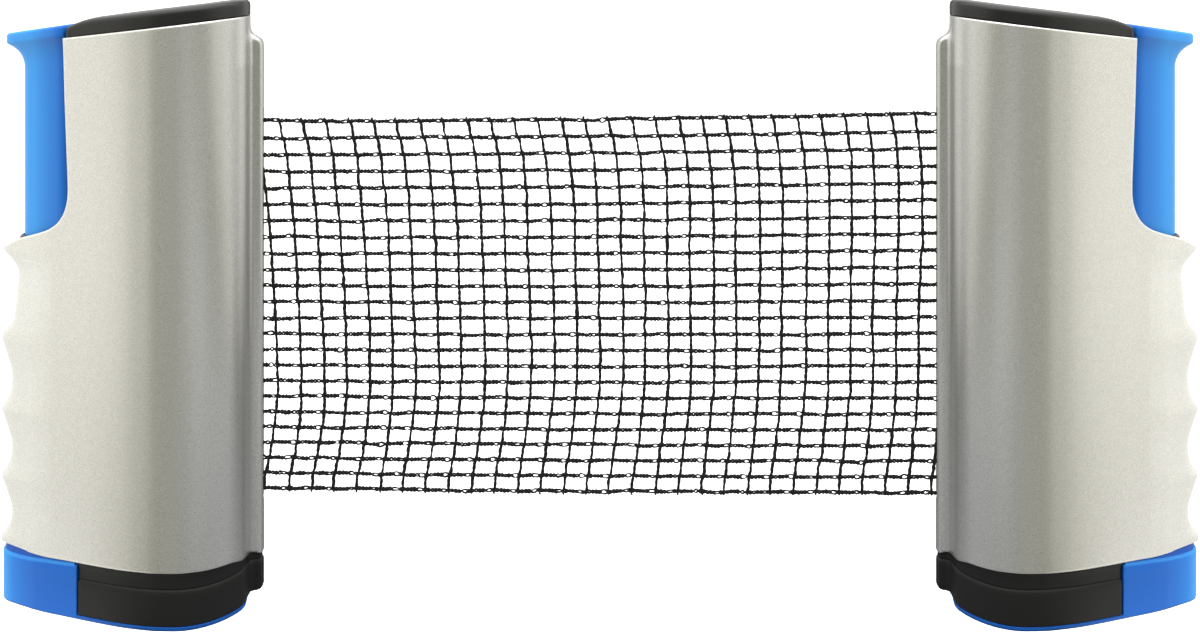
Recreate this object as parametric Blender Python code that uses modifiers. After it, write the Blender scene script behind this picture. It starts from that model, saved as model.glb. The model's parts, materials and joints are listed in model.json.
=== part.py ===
"""Retractable table tennis net: two spring clamp posts with a net between them.

Frame: +X runs along the net from the left post to the right post, +Y to the rear, +Z up.
The origin is midway between the posts, in the net's plane, on the underside of the closed
lower jaws. All sizes are millimetres; MM turns them into metres. Posts are described by the
distance x from the middle, which side (-1 left, 1 right) turns into a place along X.
"""

import math

import bmesh
import bpy
from mathutils import Matrix, Vector

MM = 0.001

# ---------------------------------------------------------------- driving dimensions
DRUM_X = 140.5          # axis of the net drum and of the net anchor
SHELL_BOTTOM = 18.6     # lower edge of the grey shells
TOP_AT_DRUM = 199.7     # upper edge of the shells above the drum's axis
TOP_SLOPE = 0.118       # the top rises towards the net
WALL = 2.2              # shell wall
GAP = 0.3               # running and assembly gap
JAW_FACE = 14.0         # parting line of the closed jaws
JAW_TRAVEL = 45.0       # how far the lower jaw opens
NET_Z = (37.5, 166.4)   # lower and upper edge of the net
SPRING_X = 188.6        # axis of the clamp spring
SEAT_Z = (69.0, 73.0)   # fixed cross bar under the clamp spring
BORE_TOP = 150.0        # upper end of the spring bore in the press handle
HANDLE_END = 50.0       # lower end of the press handle
BLOCK_X = 175.6         # throat wall of the lower jaw
FACE_END = BLOCK_X - 0.4    # end of the base and the lower pad at the throat
JAW_END = 206.9         # outer end of the lower jaw's outline

# Screws: the shell screws and the jaw screw all run along Y with their heads to the rear.
SCREW_X = 168.5
SCREW_Z = (38.0, 104.0, 180.0)
SCREW_HOLE_R = 1.75
JAW_SCREW_Z = 56.0
JAW_HOLE_R = 1.6
AXLE_BORE_R = 2.35      # seats of the drum and anchor axles in cap and base
HOLE_SEGMENTS = 14
HEAD_SEGMENTS = 16

# ---------------------------------------------------------------- outlines
# Half outlines seen from above, far end first: distance from the middle of the set, half width.
BODY = [
    (207.0, 0.0), (206.2, 2.4), (203.8, 4.9), (200.0, 6.9), (195.0, 8.6), (185.3, 11.4),
    (174.9, 14.4), (161.3, 18.3), (152.0, 20.4), (143.2, 21.0), (136.8, 20.5), (130.6, 18.1),
    (125.6, 14.3),
]
BODY_END = BODY[0][0]
GRIP_START = BODY[5][0]     # beyond this the outline stretches with the grip
# Two ways to close BODY towards the net, point for point: with the net lip, and without it.
LIP = [
    (122.4, 10.2), (121.0, 7.2), (120.4, 4.4), (119.4, 2.9), (117.8, 2.2), (117.1, 1.7),
    (117.1, 0.0),
]
DRUM_END = [
    (122.4, 10.2), (121.0, 7.2), (120.5, 4.6), (120.5, 3.2), (120.55, 2.0), (120.6, 1.0),
    (120.6, 0.0),
]
# Press handle: its column, and the flange at its top, point for point.
COLUMN = [
    (199.8, 0.0), (199.3, 2.0), (197.8, 3.6), (195.2, 5.1), (191.6, 6.5), (187.0, 7.9),
    (182.6, 8.9), (181.2, 8.9), (181.2, 0.0),
]
FLANGE = [
    (206.2, 0.0), (205.5, 2.4), (203.2, 4.9), (199.6, 7.0), (194.8, 8.8), (188.6, 10.7),
    (182.6, 12.4), (181.2, 12.4), (181.2, 0.0),
]
# Finger grooves: height of each ridge, and their distance from the middle.
RIDGES = (120.9, 89.6, 64.6, 41.9, 19.3)
RIDGE_X = 208.4
# Groove profiles: share of the way down from the upper ridge to the lower one, depth.
FIRST_GROOVE = [
    (0.0, 0.9), (0.11, 4.6), (0.21, 5.8), (0.38, 5.8), (0.72, 4.6), (0.86, 3.3), (0.94, 0.9),
]
GROOVE = [(0.0, 0.0), (0.22, 1.8), (0.45, 3.5), (0.64, 3.8), (0.84, 2.6)]
# Shell material removed beside the press handle: x, z.
SIDE_CUT = [
    (180.9, 214.0), (180.6, 190.0), (179.2, 150.0), (179.4, 141.0), (180.4, 136.0),
    (182.8, 131.6), (186.2, 128.7), (190.5, 127.0), (199.8, 125.2), (204.0, 123.4),
    (207.4, 121.2), (215.0, 117.0), (215.0, 214.0),
]
# Upper end of the net lip: height at LIP_TOP_X, how much of the lip is left.
LIP_TOP = [
    (190.4, 1.0), (191.6, 0.96), (192.8, 0.82), (193.6, 0.45), (195.2, 0.2), (197.4, 0.06),
]
LIP_TOP_X = 120.0


# ---------------------------------------------------------------- scene
for old in list(bpy.data.objects):
    bpy.data.objects.remove(old)
PARTS = bpy.data.collections.new("table_tennis_net_set")
CUTTERS = bpy.data.collections.new("cutters")
for collection in (PARTS, CUTTERS):
    bpy.context.scene.collection.children.link(collection)
CUTTERS.hide_render = True


def material(name, colour, roughness, metallic=0.0):
    mat = bpy.data.materials.new(name)
    mat.use_nodes = True
    inputs = mat.node_tree.nodes["Principled BSDF"].inputs
    inputs["Base Color"].default_value = (*colour, 1.0)
    inputs["Roughness"].default_value = roughness
    inputs["Metallic"].default_value = metallic
    return mat


SILVER = material("silver_paint", colour=(0.62, 0.62, 0.58), roughness=0.42, metallic=0.35)
BLACK = material("black_plastic", colour=(0.03, 0.03, 0.03), roughness=0.45)
RUBBER = material("black_rubber", colour=(0.025, 0.025, 0.025), roughness=0.8)
BLUE = material("blue_plastic", colour=(0.03, 0.22, 0.78), roughness=0.4)
STEEL = material("spring_steel", colour=(0.55, 0.55, 0.56), roughness=0.3, metallic=1.0)
WHITE = material("natural_plastic", colour=(0.75, 0.74, 0.7), roughness=0.5)
NET = material("net_cord", colour=(0.02, 0.02, 0.02), roughness=0.9)


# ---------------------------------------------------------------- making solids
# A solid made without a material is a helper for booleans and goes with the cutters.
def adopt(mesh, name, mat=None):
    obj = bpy.data.objects.new(name, mesh)
    if mat:
        PARTS.objects.link(obj)
        mesh.materials.clear()
        mesh.materials.append(mat)
    else:
        CUTTERS.objects.link(obj)
        obj.hide_render = True
        obj.display_type = "WIRE"
    return obj


def from_bmesh(bm, name, mat):
    bmesh.ops.recalc_face_normals(bm, faces=bm.faces)
    mesh = bpy.data.meshes.new(name)
    bm.to_mesh(mesh)
    bm.free()
    return adopt(mesh, name, mat)


def skin(name, rings, mat=None):
    """Closed body through rings of points, all with the same number of points."""
    bm = bmesh.new()
    loops = [[bm.verts.new([c * MM for c in point]) for point in ring] for ring in rings]
    for low, high in zip(loops, loops[1:]):
        for i in range(len(low)):
            j = (i + 1) % len(low)
            bm.faces.new((low[i], low[j], high[j], high[i]))
    bm.faces.new(loops[0])
    bm.faces.new(loops[-1])
    return from_bmesh(bm, name, mat)


def loft(name, side, sections, mat=None):
    """Body through sections, each a (half outline, height or function of x)."""
    rings = []
    for half, height in sections:
        outline = [(x, -y) for x, y in half] + [(x, y) for x, y in reversed(half[1:-1])]
        rings.append([(side * x, y, height(x) if callable(height) else height)
                      for x, y in outline])
    return skin(name, rings, mat)


def prism(name, side, half, z, mat=None):
    """Half outline raised between a (low, high) pair of heights."""
    return loft(name, side, [(half, z[0]), (half, z[1])], mat)


def about(centre, reach):
    return (centre - reach, centre + reach)


def box(name, side, x, y, z, mat=None):
    """Block between (low, high) pairs; x is measured from the middle of the set."""
    spans = [sorted((side * x[0], side * x[1])), y, z]
    bm = bmesh.new()
    bmesh.ops.create_cube(bm, size=1.0)
    for v in bm.verts:
        v.co = Vector([spans[k][0 if v.co[k] < 0 else 1] * MM for k in range(3)])
    return from_bmesh(bm, name, mat)


def rod(name, side, place, radius, mat=None, segments=20):
    """Cylinder along the one coordinate of its place that is a pair of ends."""
    axis = next(k for k in range(3) if isinstance(place[k], tuple))
    low, high = sorted(place[axis])
    centre = list(place)
    centre[axis] = (low + high) / 2
    centre[0] *= side
    turn = (
        Matrix.Rotation(math.pi / 2, 4, "Y"),
        Matrix.Rotation(-math.pi / 2, 4, "X"),
        Matrix.Identity(4),
    )[axis]
    bm = bmesh.new()
    bmesh.ops.create_cone(bm, cap_ends=True, segments=segments, radius1=radius * MM,
                          radius2=radius * MM, depth=(high - low) * MM)
    bm.transform(Matrix.Translation([c * MM for c in centre]) @ turn)
    return from_bmesh(bm, name, mat)


def turned(name, profile, steps, mat, location, closed=False, rotation=(0, 0, 0)):
    """Lathe work: (radius, height) points swept about local Z by a Screw modifier."""
    count = len(profile)
    edges = [(i, (i + 1) % count) for i in range(count if closed else count - 1)]
    mesh = bpy.data.meshes.new(name)
    mesh.from_pydata([(radius * MM, 0, z * MM) for radius, z in profile], edges, [])
    obj = adopt(mesh, name, mat)
    obj.location = [c * MM for c in location]
    obj.rotation_euler = rotation
    turn = obj.modifiers.new("turn", "SCREW")
    turn.axis = "Z"
    turn.angle = 2 * math.pi
    turn.steps = turn.render_steps = steps
    turn.use_merge_vertices = True
    turn.merge_threshold = 0.00002
    turn.use_smooth_shade = True
    return obj


# ---------------------------------------------------------------- working on solids
def boolean(obj, tools, operation):
    for tool in tools:
        modifier = obj.modifiers.new(operation.lower(), "BOOLEAN")
        modifier.operation = operation
        modifier.object = tool
        modifier.solver = "EXACT"


def cut(obj, *tools):
    boolean(obj, tools, "DIFFERENCE")


def join(obj, *tools):
    boolean(obj, tools, "UNION")


def bake(obj):
    """Apply the modifiers and move the mesh to world space."""
    bpy.context.view_layer.update()
    graph = bpy.context.evaluated_depsgraph_get()
    mesh = bpy.data.meshes.new_from_object(obj.evaluated_get(graph))
    mesh.transform(obj.matrix_world)
    obj.modifiers.clear()
    obj.data = mesh
    obj.matrix_world = Matrix.Identity(4)


def finish(obj):
    """Bake, then shade smooth up to 32 degree edges."""
    bake(obj)
    obj.data.shade_smooth()
    obj.data.set_sharp_from_angle(angle=math.radians(32))


# ---------------------------------------------------------------- working on half outlines
def inset(half, distance):
    """Half outline moved inwards along its normals."""
    mirrored = [(half[1][0], -half[1][1]), *half, (half[-2][0], -half[-2][1])]
    moved = []
    for (ax, ay), (bx, by), (cx, cy) in zip(mirrored, mirrored[1:], mirrored[2:]):
        before = Vector((ay - by, bx - ax)).normalized()
        after = Vector((by - cy, cx - bx)).normalized()
        normal = (before + after).normalized()
        reach = distance / max(0.55, normal @ before)   # limits the spike at sharp corners
        moved.append((bx + normal.x * reach, max(0.0, by + normal.y * reach)))
    moved[0] = (moved[0][0], 0.0)
    moved[-1] = (moved[-1][0], 0.0)
    return moved


def clipped(half, near=None, far=None):
    """The part of a half outline beyond near or short of far, closed by a straight wall."""
    def wall_y(x, start):
        (ax, ay), (bx, by) = half[start], half[start + 1]
        return by + (ay - by) * (x - bx) / (ax - bx)

    if far is not None:
        keep = [p for p in half if p[0] < far]
        return [(far, 0.0), (far, wall_y(far, half.index(keep[0]) - 1))] + keep
    keep = [p for p in half if p[0] > near]
    return keep + [(near, wall_y(near, half.index(keep[-1]))), (near, 0.0)]


def blend(one, two, share):
    return [(a[0] + (b[0] - a[0]) * share, a[1] + (b[1] - a[1]) * share)
            for a, b in zip(one, two)]


def oval(centre_x, reach_x, reach_y, steps=14):
    """Half outline of a rounded panel."""
    angles = [math.pi * i / steps for i in range(steps + 1)]
    return [(centre_x + reach_x * math.cos(a), reach_y * math.sin(a) ** 0.7) for a in angles]


def body_half(end_x, lip):
    """Half outline with the grip's outer end at end_x, and the net lip grown from 0 to 1."""
    stretch = (end_x - GRIP_START) / (BODY_END - GRIP_START)
    body = [(GRIP_START + (x - GRIP_START) * stretch if x > GRIP_START else x, y)
            for x, y in BODY]
    return body + blend(DRUM_END, LIP, lip)


DRUM_HALF = body_half(BODY_END, 0.0)
LIP_HALF = body_half(BODY_END, 1.0)
CAVITY = clipped(inset(DRUM_HALF, WALL), far=177.8)


# ---------------------------------------------------------------- shells
BOSS_FEET = (3.4, 0.1, 3.4)     # distance of each boss from y = 0; the outer ones clear the lugs
BOSS_R = 3.6
BOSS_END = 15.0                 # far end of a boss, inside the shell's wall
FRONT_HOLE_R = 1.35
HEAD_POCKET_R = 3.0
HEAD_POCKET_Y = (12.8, 27.2)
CUTTER_BOTTOM = 10.0            # lower end of cutters that pass the shells' lower edge


def above_top(height):
    """Height function parallel to the sloping top plane of the shells."""
    return lambda x: TOP_AT_DRUM + TOP_SLOPE * (DRUM_X - x) + height


def grip_levels():
    """(height, outer end) down the finger grooves to the shell's lower edge."""
    levels = []
    for n, (high, low) in enumerate(zip(RIDGES, RIDGES[1:])):
        for share, depth in FIRST_GROOVE if n == 0 else GROOVE:
            levels.append((high - share * (high - low), RIDGE_X - depth))
    return levels + [(RIDGES[-1], RIDGE_X), (SHELL_BOTTOM, RIDGE_X - 0.4)]


def make_shell_body(side, tag):
    """Both shells in one piece, without bosses."""
    sections = [(body_half(x, 1.0), z) for z, x in reversed(grip_levels())]
    sections.append((body_half(RIDGE_X, 1.0), 124.0))
    # the levels at the top of the lip run parallel to the sloping top
    for height, lip in LIP_TOP:
        slope = lambda x, h=height: h + TOP_SLOPE * (LIP_TOP_X - x)
        sections.append((body_half(RIDGE_X, lip), slope))
    sections.append((body_half(RIDGE_X, 0.0), above_top(0.0)))
    body = loft(f"{tag}_shell_body", side, sections, SILVER)

    # channel for the column, with extra room at its outer end
    channel = inset(COLUMN, -0.4)
    channel[0] = (channel[0][0] + 0.35, 0.0)
    cut(
        body,
        prism(f"{tag}_cavity", side, CAVITY, (CUTTER_BOTTOM, 215.0)),
        prism(f"{tag}_channel", side, channel, (CUTTER_BOTTOM, 140.0)),
        skin(f"{tag}_side_cut", [[(side * x, y, z) for x, z in SIDE_CUT] for y in (-40, 40)]),
        # net slot through the lip
        box(f"{tag}_slot", side, (112, 124), about(0, 0.95), (NET_Z[0] - 3, NET_Z[1] + 3)),
        # seat for the guide collar at the mouth of the channel
        prism(f"{tag}_collar_seat", side, inset(COLUMN, -1.75), (118.6, 135.0)),
        # pockets for the spring seat's ends
        box(f"{tag}_seat_pocket", side, about(SPRING_X, 1.9), about(0, 9.1),
            (SEAT_Z[0] - GAP, SEAT_Z[1] + GAP)),
    )
    bake(body)
    return body


def make_shells(side, tag):
    body = make_shell_body(side, tag)
    # front or rear, its sign along Y, and what is cut off it
    for which, sign, waste_y in (("front", -1, (-GAP / 2, 40)), ("rear", 1, (-39.7, GAP / 2))):
        name = f"{tag}_{which}"
        shell = adopt(body.data.copy(), f"{name}_shell", SILVER)
        for i, (z, foot) in enumerate(zip(SCREW_Z, BOSS_FEET)):
            join(shell, rod(f"{name}_boss_{i}", side, (SCREW_X, (sign * foot, sign * BOSS_END), z),
                            BOSS_R, segments=HOLE_SEGMENTS))
        cut(shell, box(f"{name}_half_cut", side, (100, 220), waste_y, (0, 230)))
        hole_y, hole_r = ((-3.0, 27.0), SCREW_HOLE_R) if sign > 0 else ((-11.6, 1.0), FRONT_HOLE_R)
        for i, z in enumerate(SCREW_Z):
            cut(shell, rod(f"{name}_hole_{i}", side, (SCREW_X, hole_y, z), hole_r,
                           segments=HOLE_SEGMENTS))
            if sign > 0:
                cut(shell, rod(f"{name}_head_{i}", side, (SCREW_X, HEAD_POCKET_Y, z),
                               HEAD_POCKET_R, segments=HEAD_SEGMENTS))
        finish(shell)
    bpy.data.objects.remove(body)


# ---------------------------------------------------------------- top cap, base, upper pad
CAP_END = 180.2         # end of the cap beside the press handle
CAP_CHAMFER = 0.9
PAD_SEAT_TOP = JAW_FACE + 2.4
PAD_PANEL_X = 145.0     # middle of the raised panel and of the pocket facing it


def add_lug(obj, name, side, z, screw_z):
    """Lug between the shells' bosses, with a hole for the shell screw."""
    join(obj, box(f"{name}_lug", side, about(SCREW_X, 3.2), about(0, 3.0), z))
    cut(obj, rod(f"{name}_lug_hole", side, (SCREW_X, about(0, 6.0), screw_z), SCREW_HOLE_R,
                 segments=HOLE_SEGMENTS))


def crown(height):
    """Height above the shells' top, falling away towards the press handle."""
    def z(x):
        fall = 0.42 * max(0.0, min(1.0, (x - 170.0) / 10.6)) ** 2
        return above_top(GAP)(x) + (height - GAP) * (1 - fall)
    return z


def make_cap(side, tag):
    half = clipped(DRUM_HALF, far=CAP_END)
    corner_y = half[1][1]
    half[1:2] = [(CAP_END, corner_y - CAP_CHAMFER), (CAP_END - CAP_CHAMFER, corner_y)]
    cap = loft(f"{tag}_top_cap", side, [
        (half, above_top(GAP)), (half, crown(3.6)),
        (inset(half, 0.35), crown(4.8)), (inset(half, 1.2), crown(5.6)),
    ], BLACK)
    rim, hollow = inset(CAVITY, 0.35), inset(CAVITY, 2.0)
    join(cap, loft(f"{tag}_cap_rim", side, [(rim, above_top(-4.0)), (rim, above_top(1.5))]))
    cut(cap, loft(f"{tag}_cap_hollow", side,
                  [(hollow, above_top(-6.0)), (hollow, above_top(1.0))]))
    join(cap, rod(f"{tag}_cap_boss", side, (DRUM_X, 0, (191.0, 201.8)), 5.0))
    add_lug(cap, f"{tag}_cap", side, (175.0, 198.2), SCREW_Z[2])
    cut(cap, rod(f"{tag}_cap_bore", side, (DRUM_X, 0, (188.0, 197.0)), AXLE_BORE_R))
    finish(cap)


def make_base(side, tag):
    band = clipped(inset(LIP_HALF, 0.9), far=FACE_END)
    flush = clipped(inset(LIP_HALF, 0.25), far=FACE_END)
    spigot = clipped(inset(DRUM_HALF, WALL + 0.4), far=BLOCK_X - 0.6)
    pad_seat = clipped(inset(DRUM_HALF, 4.2), far=171.5)
    base = loft(f"{tag}_base", side, [
        (band, JAW_FACE), (band, PAD_SEAT_TOP), (flush, SHELL_BOTTOM - GAP),
    ], BLACK)
    join(
        base,
        prism(f"{tag}_base_spigot", side, spigot, (17.5, 24.0)),
        rod(f"{tag}_base_boss", side, (DRUM_X, 0, (19.0, 27.0)), 6.0),
    )
    add_lug(base, f"{tag}_base", side, (20.0, 43.0), SCREW_Z[0])
    cut(
        base,
        rod(f"{tag}_base_bore", side, (DRUM_X, 0, (18.0, 34.0)), AXLE_BORE_R),
        prism(f"{tag}_pad_seat", side, pad_seat, (CUTTER_BOTTOM, PAD_SEAT_TOP)),
    )
    finish(base)


def make_upper_pad(side, tag):
    plate = clipped(inset(DRUM_HALF, 4.55), far=171.2)
    panel = oval(PAD_PANEL_X, 17.0, 9.5)
    pad = prism(f"{tag}_upper_pad", side, plate, (JAW_FACE, JAW_FACE + 2.1), RUBBER)
    join(pad, loft(f"{tag}_pad_panel", side, [
        (inset(panel, 0.5), JAW_FACE - 0.8), (panel, JAW_FACE - 0.4), (panel, JAW_FACE + 0.8),
    ]))
    finish(pad)


# ---------------------------------------------------------------- lower jaw and its pad
PLATE = 1.6             # thickness of the lower jaw under its pad
CORE_X = 147.0          # middle of the raised core under the pad
CORE_REACH = (20.0, 9.0)
CORE_GAP = 0.4
CORE_STEPS = 12


def make_lower_jaw(side, tag):
    plate = inset(body_half(JAW_END, 0.0), 0.1)
    block_half = body_half(JAW_END - 0.2, 1.0)
    block = clipped(block_half, near=BLOCK_X)
    shoulder = clipped(inset(block_half, 0.9), near=BLOCK_X)
    stem = clipped(COLUMN, near=181.25)
    core = oval(CORE_X, *CORE_REACH, CORE_STEPS)
    jaw = loft(f"{tag}_lower_jaw", side, [
        (inset(plate, 0.6), 0.0), (inset(plate, 0.12), 0.4), (plate, 0.9), (plate, PLATE),
    ], BLUE)
    join(
        jaw,
        loft(f"{tag}_jaw_block", side, [(block, 0.9), (block, 14.6), (shoulder, 18.2)]),
        prism(f"{tag}_jaw_stem", side, stem, (17.0, HANDLE_END - GAP)),
        rod(f"{tag}_jaw_spigot", side, (SPRING_X, 0, (47.5, 61.5)), 5.2),
        prism(f"{tag}_jaw_core", side, core, (1.0, 8.4)),
    )
    cut(jaw, rod(f"{tag}_jaw_spigot_hole", side, (SPRING_X, about(0, 12.0), JAW_SCREW_Z),
                 JAW_HOLE_R, segments=HOLE_SEGMENTS))
    finish(jaw)


def make_lower_pad(side, tag):
    lip_half = body_half(JAW_END, 1.0)
    with_lip = clipped(inset(lip_half, 0.15), far=FACE_END)
    no_lip = clipped(inset(body_half(JAW_END, 0.0), 0.15), far=FACE_END)
    top_edge = clipped(inset(lip_half, 0.75), far=FACE_END)
    pad = loft(f"{tag}_lower_pad", side, [
        (no_lip, PLATE + GAP), (no_lip, 2.4), (blend(with_lip, no_lip, 0.5), 2.7),
        (with_lip, 3.3), (with_lip, JAW_FACE - 1.0), (top_edge, JAW_FACE - GAP),
    ], RUBBER)
    underside = oval(CORE_X, *(reach + CORE_GAP for reach in CORE_REACH), CORE_STEPS)
    cut(
        pad,
        prism(f"{tag}_pad_underside", side, underside, (0.0, 8.75)),
        prism(f"{tag}_pad_pocket", side, oval(PAD_PANEL_X, 18.2, 10.7), (10.6, 20.0)),
    )
    finish(pad)


# ---------------------------------------------------------------- press handle and collar
HANDLE_TOP = 195.7      # at the flange's outer end
HANDLE_SLOPE = 0.143
# From column to flange: share of the flange's outline, height from the handle's sloping top.
FLARE = [(0.0, -10.6), (0.12, -8.2), (0.42, -5.6), (0.8, -4.0), (1.0, -3.3), (1.0, -0.7)]


def make_handle(side, tag):
    def from_handle_top(height):
        return lambda x: HANDLE_TOP + HANDLE_SLOPE * (FLANGE[0][0] - x) + height

    handle = loft(f"{tag}_press_handle", side, [
        (COLUMN, HANDLE_END),
        *((blend(COLUMN, FLANGE, share), from_handle_top(height)) for share, height in FLARE),
        (inset(FLANGE, 0.6), from_handle_top(0.0)),
    ], BLUE)
    cut(
        handle,
        rod(f"{tag}_spring_bore", side, (SPRING_X, 0, (40.0, BORE_TOP)), 5.6),
        # the slot lets the handle travel past the fixed spring seat
        box(f"{tag}_seat_slot", side, about(SPRING_X, 2.1), about(0, 14),
            (SEAT_Z[0] - 0.6, SEAT_Z[1] + 0.6 + JAW_TRAVEL)),
        rod(f"{tag}_handle_hole", side, (SPRING_X, about(0, 15.0), JAW_SCREW_Z), JAW_HOLE_R,
            segments=HOLE_SEGMENTS),
        rod(f"{tag}_handle_head", side, (SPRING_X, (6.2, 10.0), JAW_SCREW_Z), 2.6,
            segments=HEAD_SEGMENTS),
    )
    finish(handle)


def make_collar(side, tag):
    collar = prism(f"{tag}_guide_collar", side, inset(COLUMN, -1.4), (119.0, 125.0), BLACK)
    cutter_z = (110, 130)
    cut(
        collar,
        prism(f"{tag}_collar_bore", side, inset(COLUMN, -0.35), cutter_z),
        # the collar is open towards the drum, where the shell closes it
        box(f"{tag}_collar_gap", side, (170, 181.6), about(0, 20), cutter_z),
    )
    finish(collar)


# ---------------------------------------------------------------- clamp spring and its seat
COIL_R = 4.3
WIRE_R = 0.6
WIRE_SIDES = 5
COIL_TURNS = 11
COIL_STEPS = 10         # per turn
PIN_R = 1.6
PIN_LENGTH = 32.0


def make_spring(side, tag):
    """Compression spring with closed ends."""
    low, high = SEAT_Z[1] + GAP + WIRE_R, BORE_TOP - GAP - WIRE_R
    flat = 0.03 * (high - low)      # rise of the nearly flat first and last turn
    ends = [flat * i / COIL_STEPS for i in range(COIL_STEPS)]
    count = (COIL_TURNS - 2) * COIL_STEPS
    middle = [flat + (high - low - 2 * flat) * i / count for i in range(count)]
    levels = [low + rise for rise in ends + middle]
    levels += [high - drop for drop in reversed(ends)] + [high]
    rings = []
    for i, z in enumerate(levels):
        turn = 2 * math.pi * i / COIL_STEPS
        ring = []
        for k in range(WIRE_SIDES):
            around = 2 * math.pi * k / WIRE_SIDES
            radius = COIL_R + WIRE_R * math.cos(around)
            ring.append((side * SPRING_X + radius * math.cos(turn), radius * math.sin(turn),
                         z + WIRE_R * math.sin(around)))
        rings.append(ring)
    skin(f"{tag}_clamp_spring", rings, STEEL)


def make_seat(side, tag):
    top = SEAT_Z[1]
    seat = box(f"{tag}_spring_seat", side, about(SPRING_X, 1.6), about(0, 8.8), SEAT_Z, WHITE)
    join(seat, rod(f"{tag}_seat_disc", side, (SPRING_X, 0, (top - 2.0, top)), 5.1))
    cut(seat, rod(f"{tag}_seat_hole", side, (SPRING_X, 0, about(top, 2.5)), PIN_R + 0.05))
    bake(seat)


def make_guide_pin(side, tag):
    profile = [(0, PIN_LENGTH), (PIN_R - 0.5, PIN_LENGTH), (PIN_R, PIN_LENGTH - 0.6),
               (PIN_R, 0.0), (0, 0.0)]
    turned(f"{tag}_guide_pin", profile, 16, STEEL, (side * SPRING_X, 0, SEAT_Z[1] - 2.45))


# ---------------------------------------------------------------- screws
HEAD_TO_REAR = (-math.pi / 2, 0, 0)
SCREW_STEPS = 12
RECESS_LONG = 1.5       # half length and half width of each arm of the cross recess
RECESS_SHORT = 0.35
RECESS_Y = (13.9, 18)


def screw_profile(head_r, head_h, shank_r, length):
    """Pan head screw, head up, with the underside of the head at height 0."""
    return [
        (0, head_h), (head_r * 0.55, head_h), (head_r * 0.9, head_h * 0.72),
        (head_r, head_h * 0.35), (head_r, 0.0), (shank_r, 0.0), (shank_r, -length + 1.2),
        (0.3, -length), (0, -length),
    ]


def make_shell_screws(side, tag):
    profile = screw_profile(head_r=2.5, head_h=1.9, shank_r=1.25, length=22.0)
    for i, z in enumerate(SCREW_Z):
        screw = turned(f"{tag}_shell_screw_{i + 1}", profile, SCREW_STEPS, STEEL,
                       (side * SCREW_X, HEAD_POCKET_Y[0] + 0.05, z), rotation=HEAD_TO_REAR)
        bake(screw)
        for arm, reach_x, reach_z in (("a", RECESS_LONG, RECESS_SHORT),
                                      ("b", RECESS_SHORT, RECESS_LONG)):
            cut(screw, box(f"{tag}_cross_{arm}{i}", side, about(SCREW_X, reach_x), RECESS_Y,
                           about(z, reach_z)))
        bake(screw)


def make_jaw_screw(side, tag):
    profile = screw_profile(head_r=2.2, head_h=1.0, shank_r=1.2, length=12.6)
    turned(f"{tag}_jaw_screw", profile, SCREW_STEPS, STEEL,
           (side * SPRING_X, 6.25, JAW_SCREW_Z), rotation=HEAD_TO_REAR)


# ---------------------------------------------------------------- net drum and net anchor
CORE_BORE_R = 2.55      # bore of the spool and of the anchor tube
CORE_R = 7.0            # outer radius of both
CORE_BOTTOM = 30.6
FLANGE_R = 17.4
WOUND_R = 7.4           # inner radius of the net wound on either
# Turned profiles: radius, height.
SPOOL = [
    (CORE_BORE_R, 187.0), (4.0, 187.0), (4.0, 172.0), (CORE_R, 172.0),
    (CORE_R, 170.0), (FLANGE_R, 170.0), (FLANGE_R, 168.4), (CORE_R, 168.4),
    (CORE_R, 35.6), (FLANGE_R, 35.6), (FLANGE_R, 34.0), (CORE_R, 34.0),
    (CORE_R, CORE_BOTTOM), (CORE_BORE_R, CORE_BOTTOM),
]
NET_ROLL = [
    (WOUND_R, NET_Z[1]), (16.8, NET_Z[1]), (17.1, NET_Z[1] - 0.8),
    (17.1, NET_Z[0] + 0.8), (16.8, NET_Z[0]), (WOUND_R, NET_Z[0]),
]
SPRING_CUP = [
    (5.05, 193.8), (6.8, 193.8), (6.8, 188.4), (15.2, 188.4), (15.2, 174.6), (14.0, 174.6),
    (14.0, 187.2), (5.05, 187.2),
]
AXLE = [(0, 196.0), (1.7, 196.0), (2.0, 195.6), (2.0, 18.9), (1.7, 18.4), (0, 18.4)]


def tube(inner, outer, low, high):
    return [(inner, high), (outer, high), (outer, low), (inner, low)]


def make_axle(side, name, bush):
    """Axle with a bush near each end."""
    place = (side * DRUM_X, 0, 0)
    turned(f"{name}_axle", AXLE, 20, STEEL, place)
    for end, z in (("lower", 27.4), ("upper", 187.4)):
        turned(f"{name}_{end}_{bush}", tube(2.4, 4.6, z, z + 2.8), 20, BLACK, place, closed=True)


def make_spool():
    place = (-DRUM_X, 0, 0)
    turned("spool", SPOOL, 24, WHITE, place, closed=True)
    turned("net_roll", NET_ROLL, 32, NET, place, closed=True)
    # the cup hangs on the cap's boss, over the spring
    turned("spring_cup", SPRING_CUP, 24, BLACK, place, closed=True)
    make_axle(-1, "spool", "bush")


def make_retraction_spring():
    """Flat ribbon wound in a spiral, standing on edge in its cup."""
    inner, outer, turns, steps = 4.3, 13.75, 4.5, 18
    count = int(steps * turns)
    spiral = []
    for i in range(count + 1):
        angle = 2 * math.pi * i / steps
        radius = inner + (outer - inner) * i / count
        spiral.append((-DRUM_X + radius * math.cos(angle), radius * math.sin(angle)))
    verts = [(x * MM, y * MM, z * MM) for z in (176.0, 185.5) for x, y in spiral]
    upper = len(spiral)     # index of the first vertex on the upper edge
    faces = [(i, i + 1, upper + i + 1, upper + i) for i in range(count)]
    mesh = bpy.data.meshes.new("retraction_spring")
    mesh.from_pydata(verts, [], faces)
    ribbon = adopt(mesh, "retraction_spring", STEEL)
    thickness = ribbon.modifiers.new("thickness", "SOLIDIFY")
    thickness.thickness = 0.35 * MM
    thickness.offset = 0.0


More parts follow.
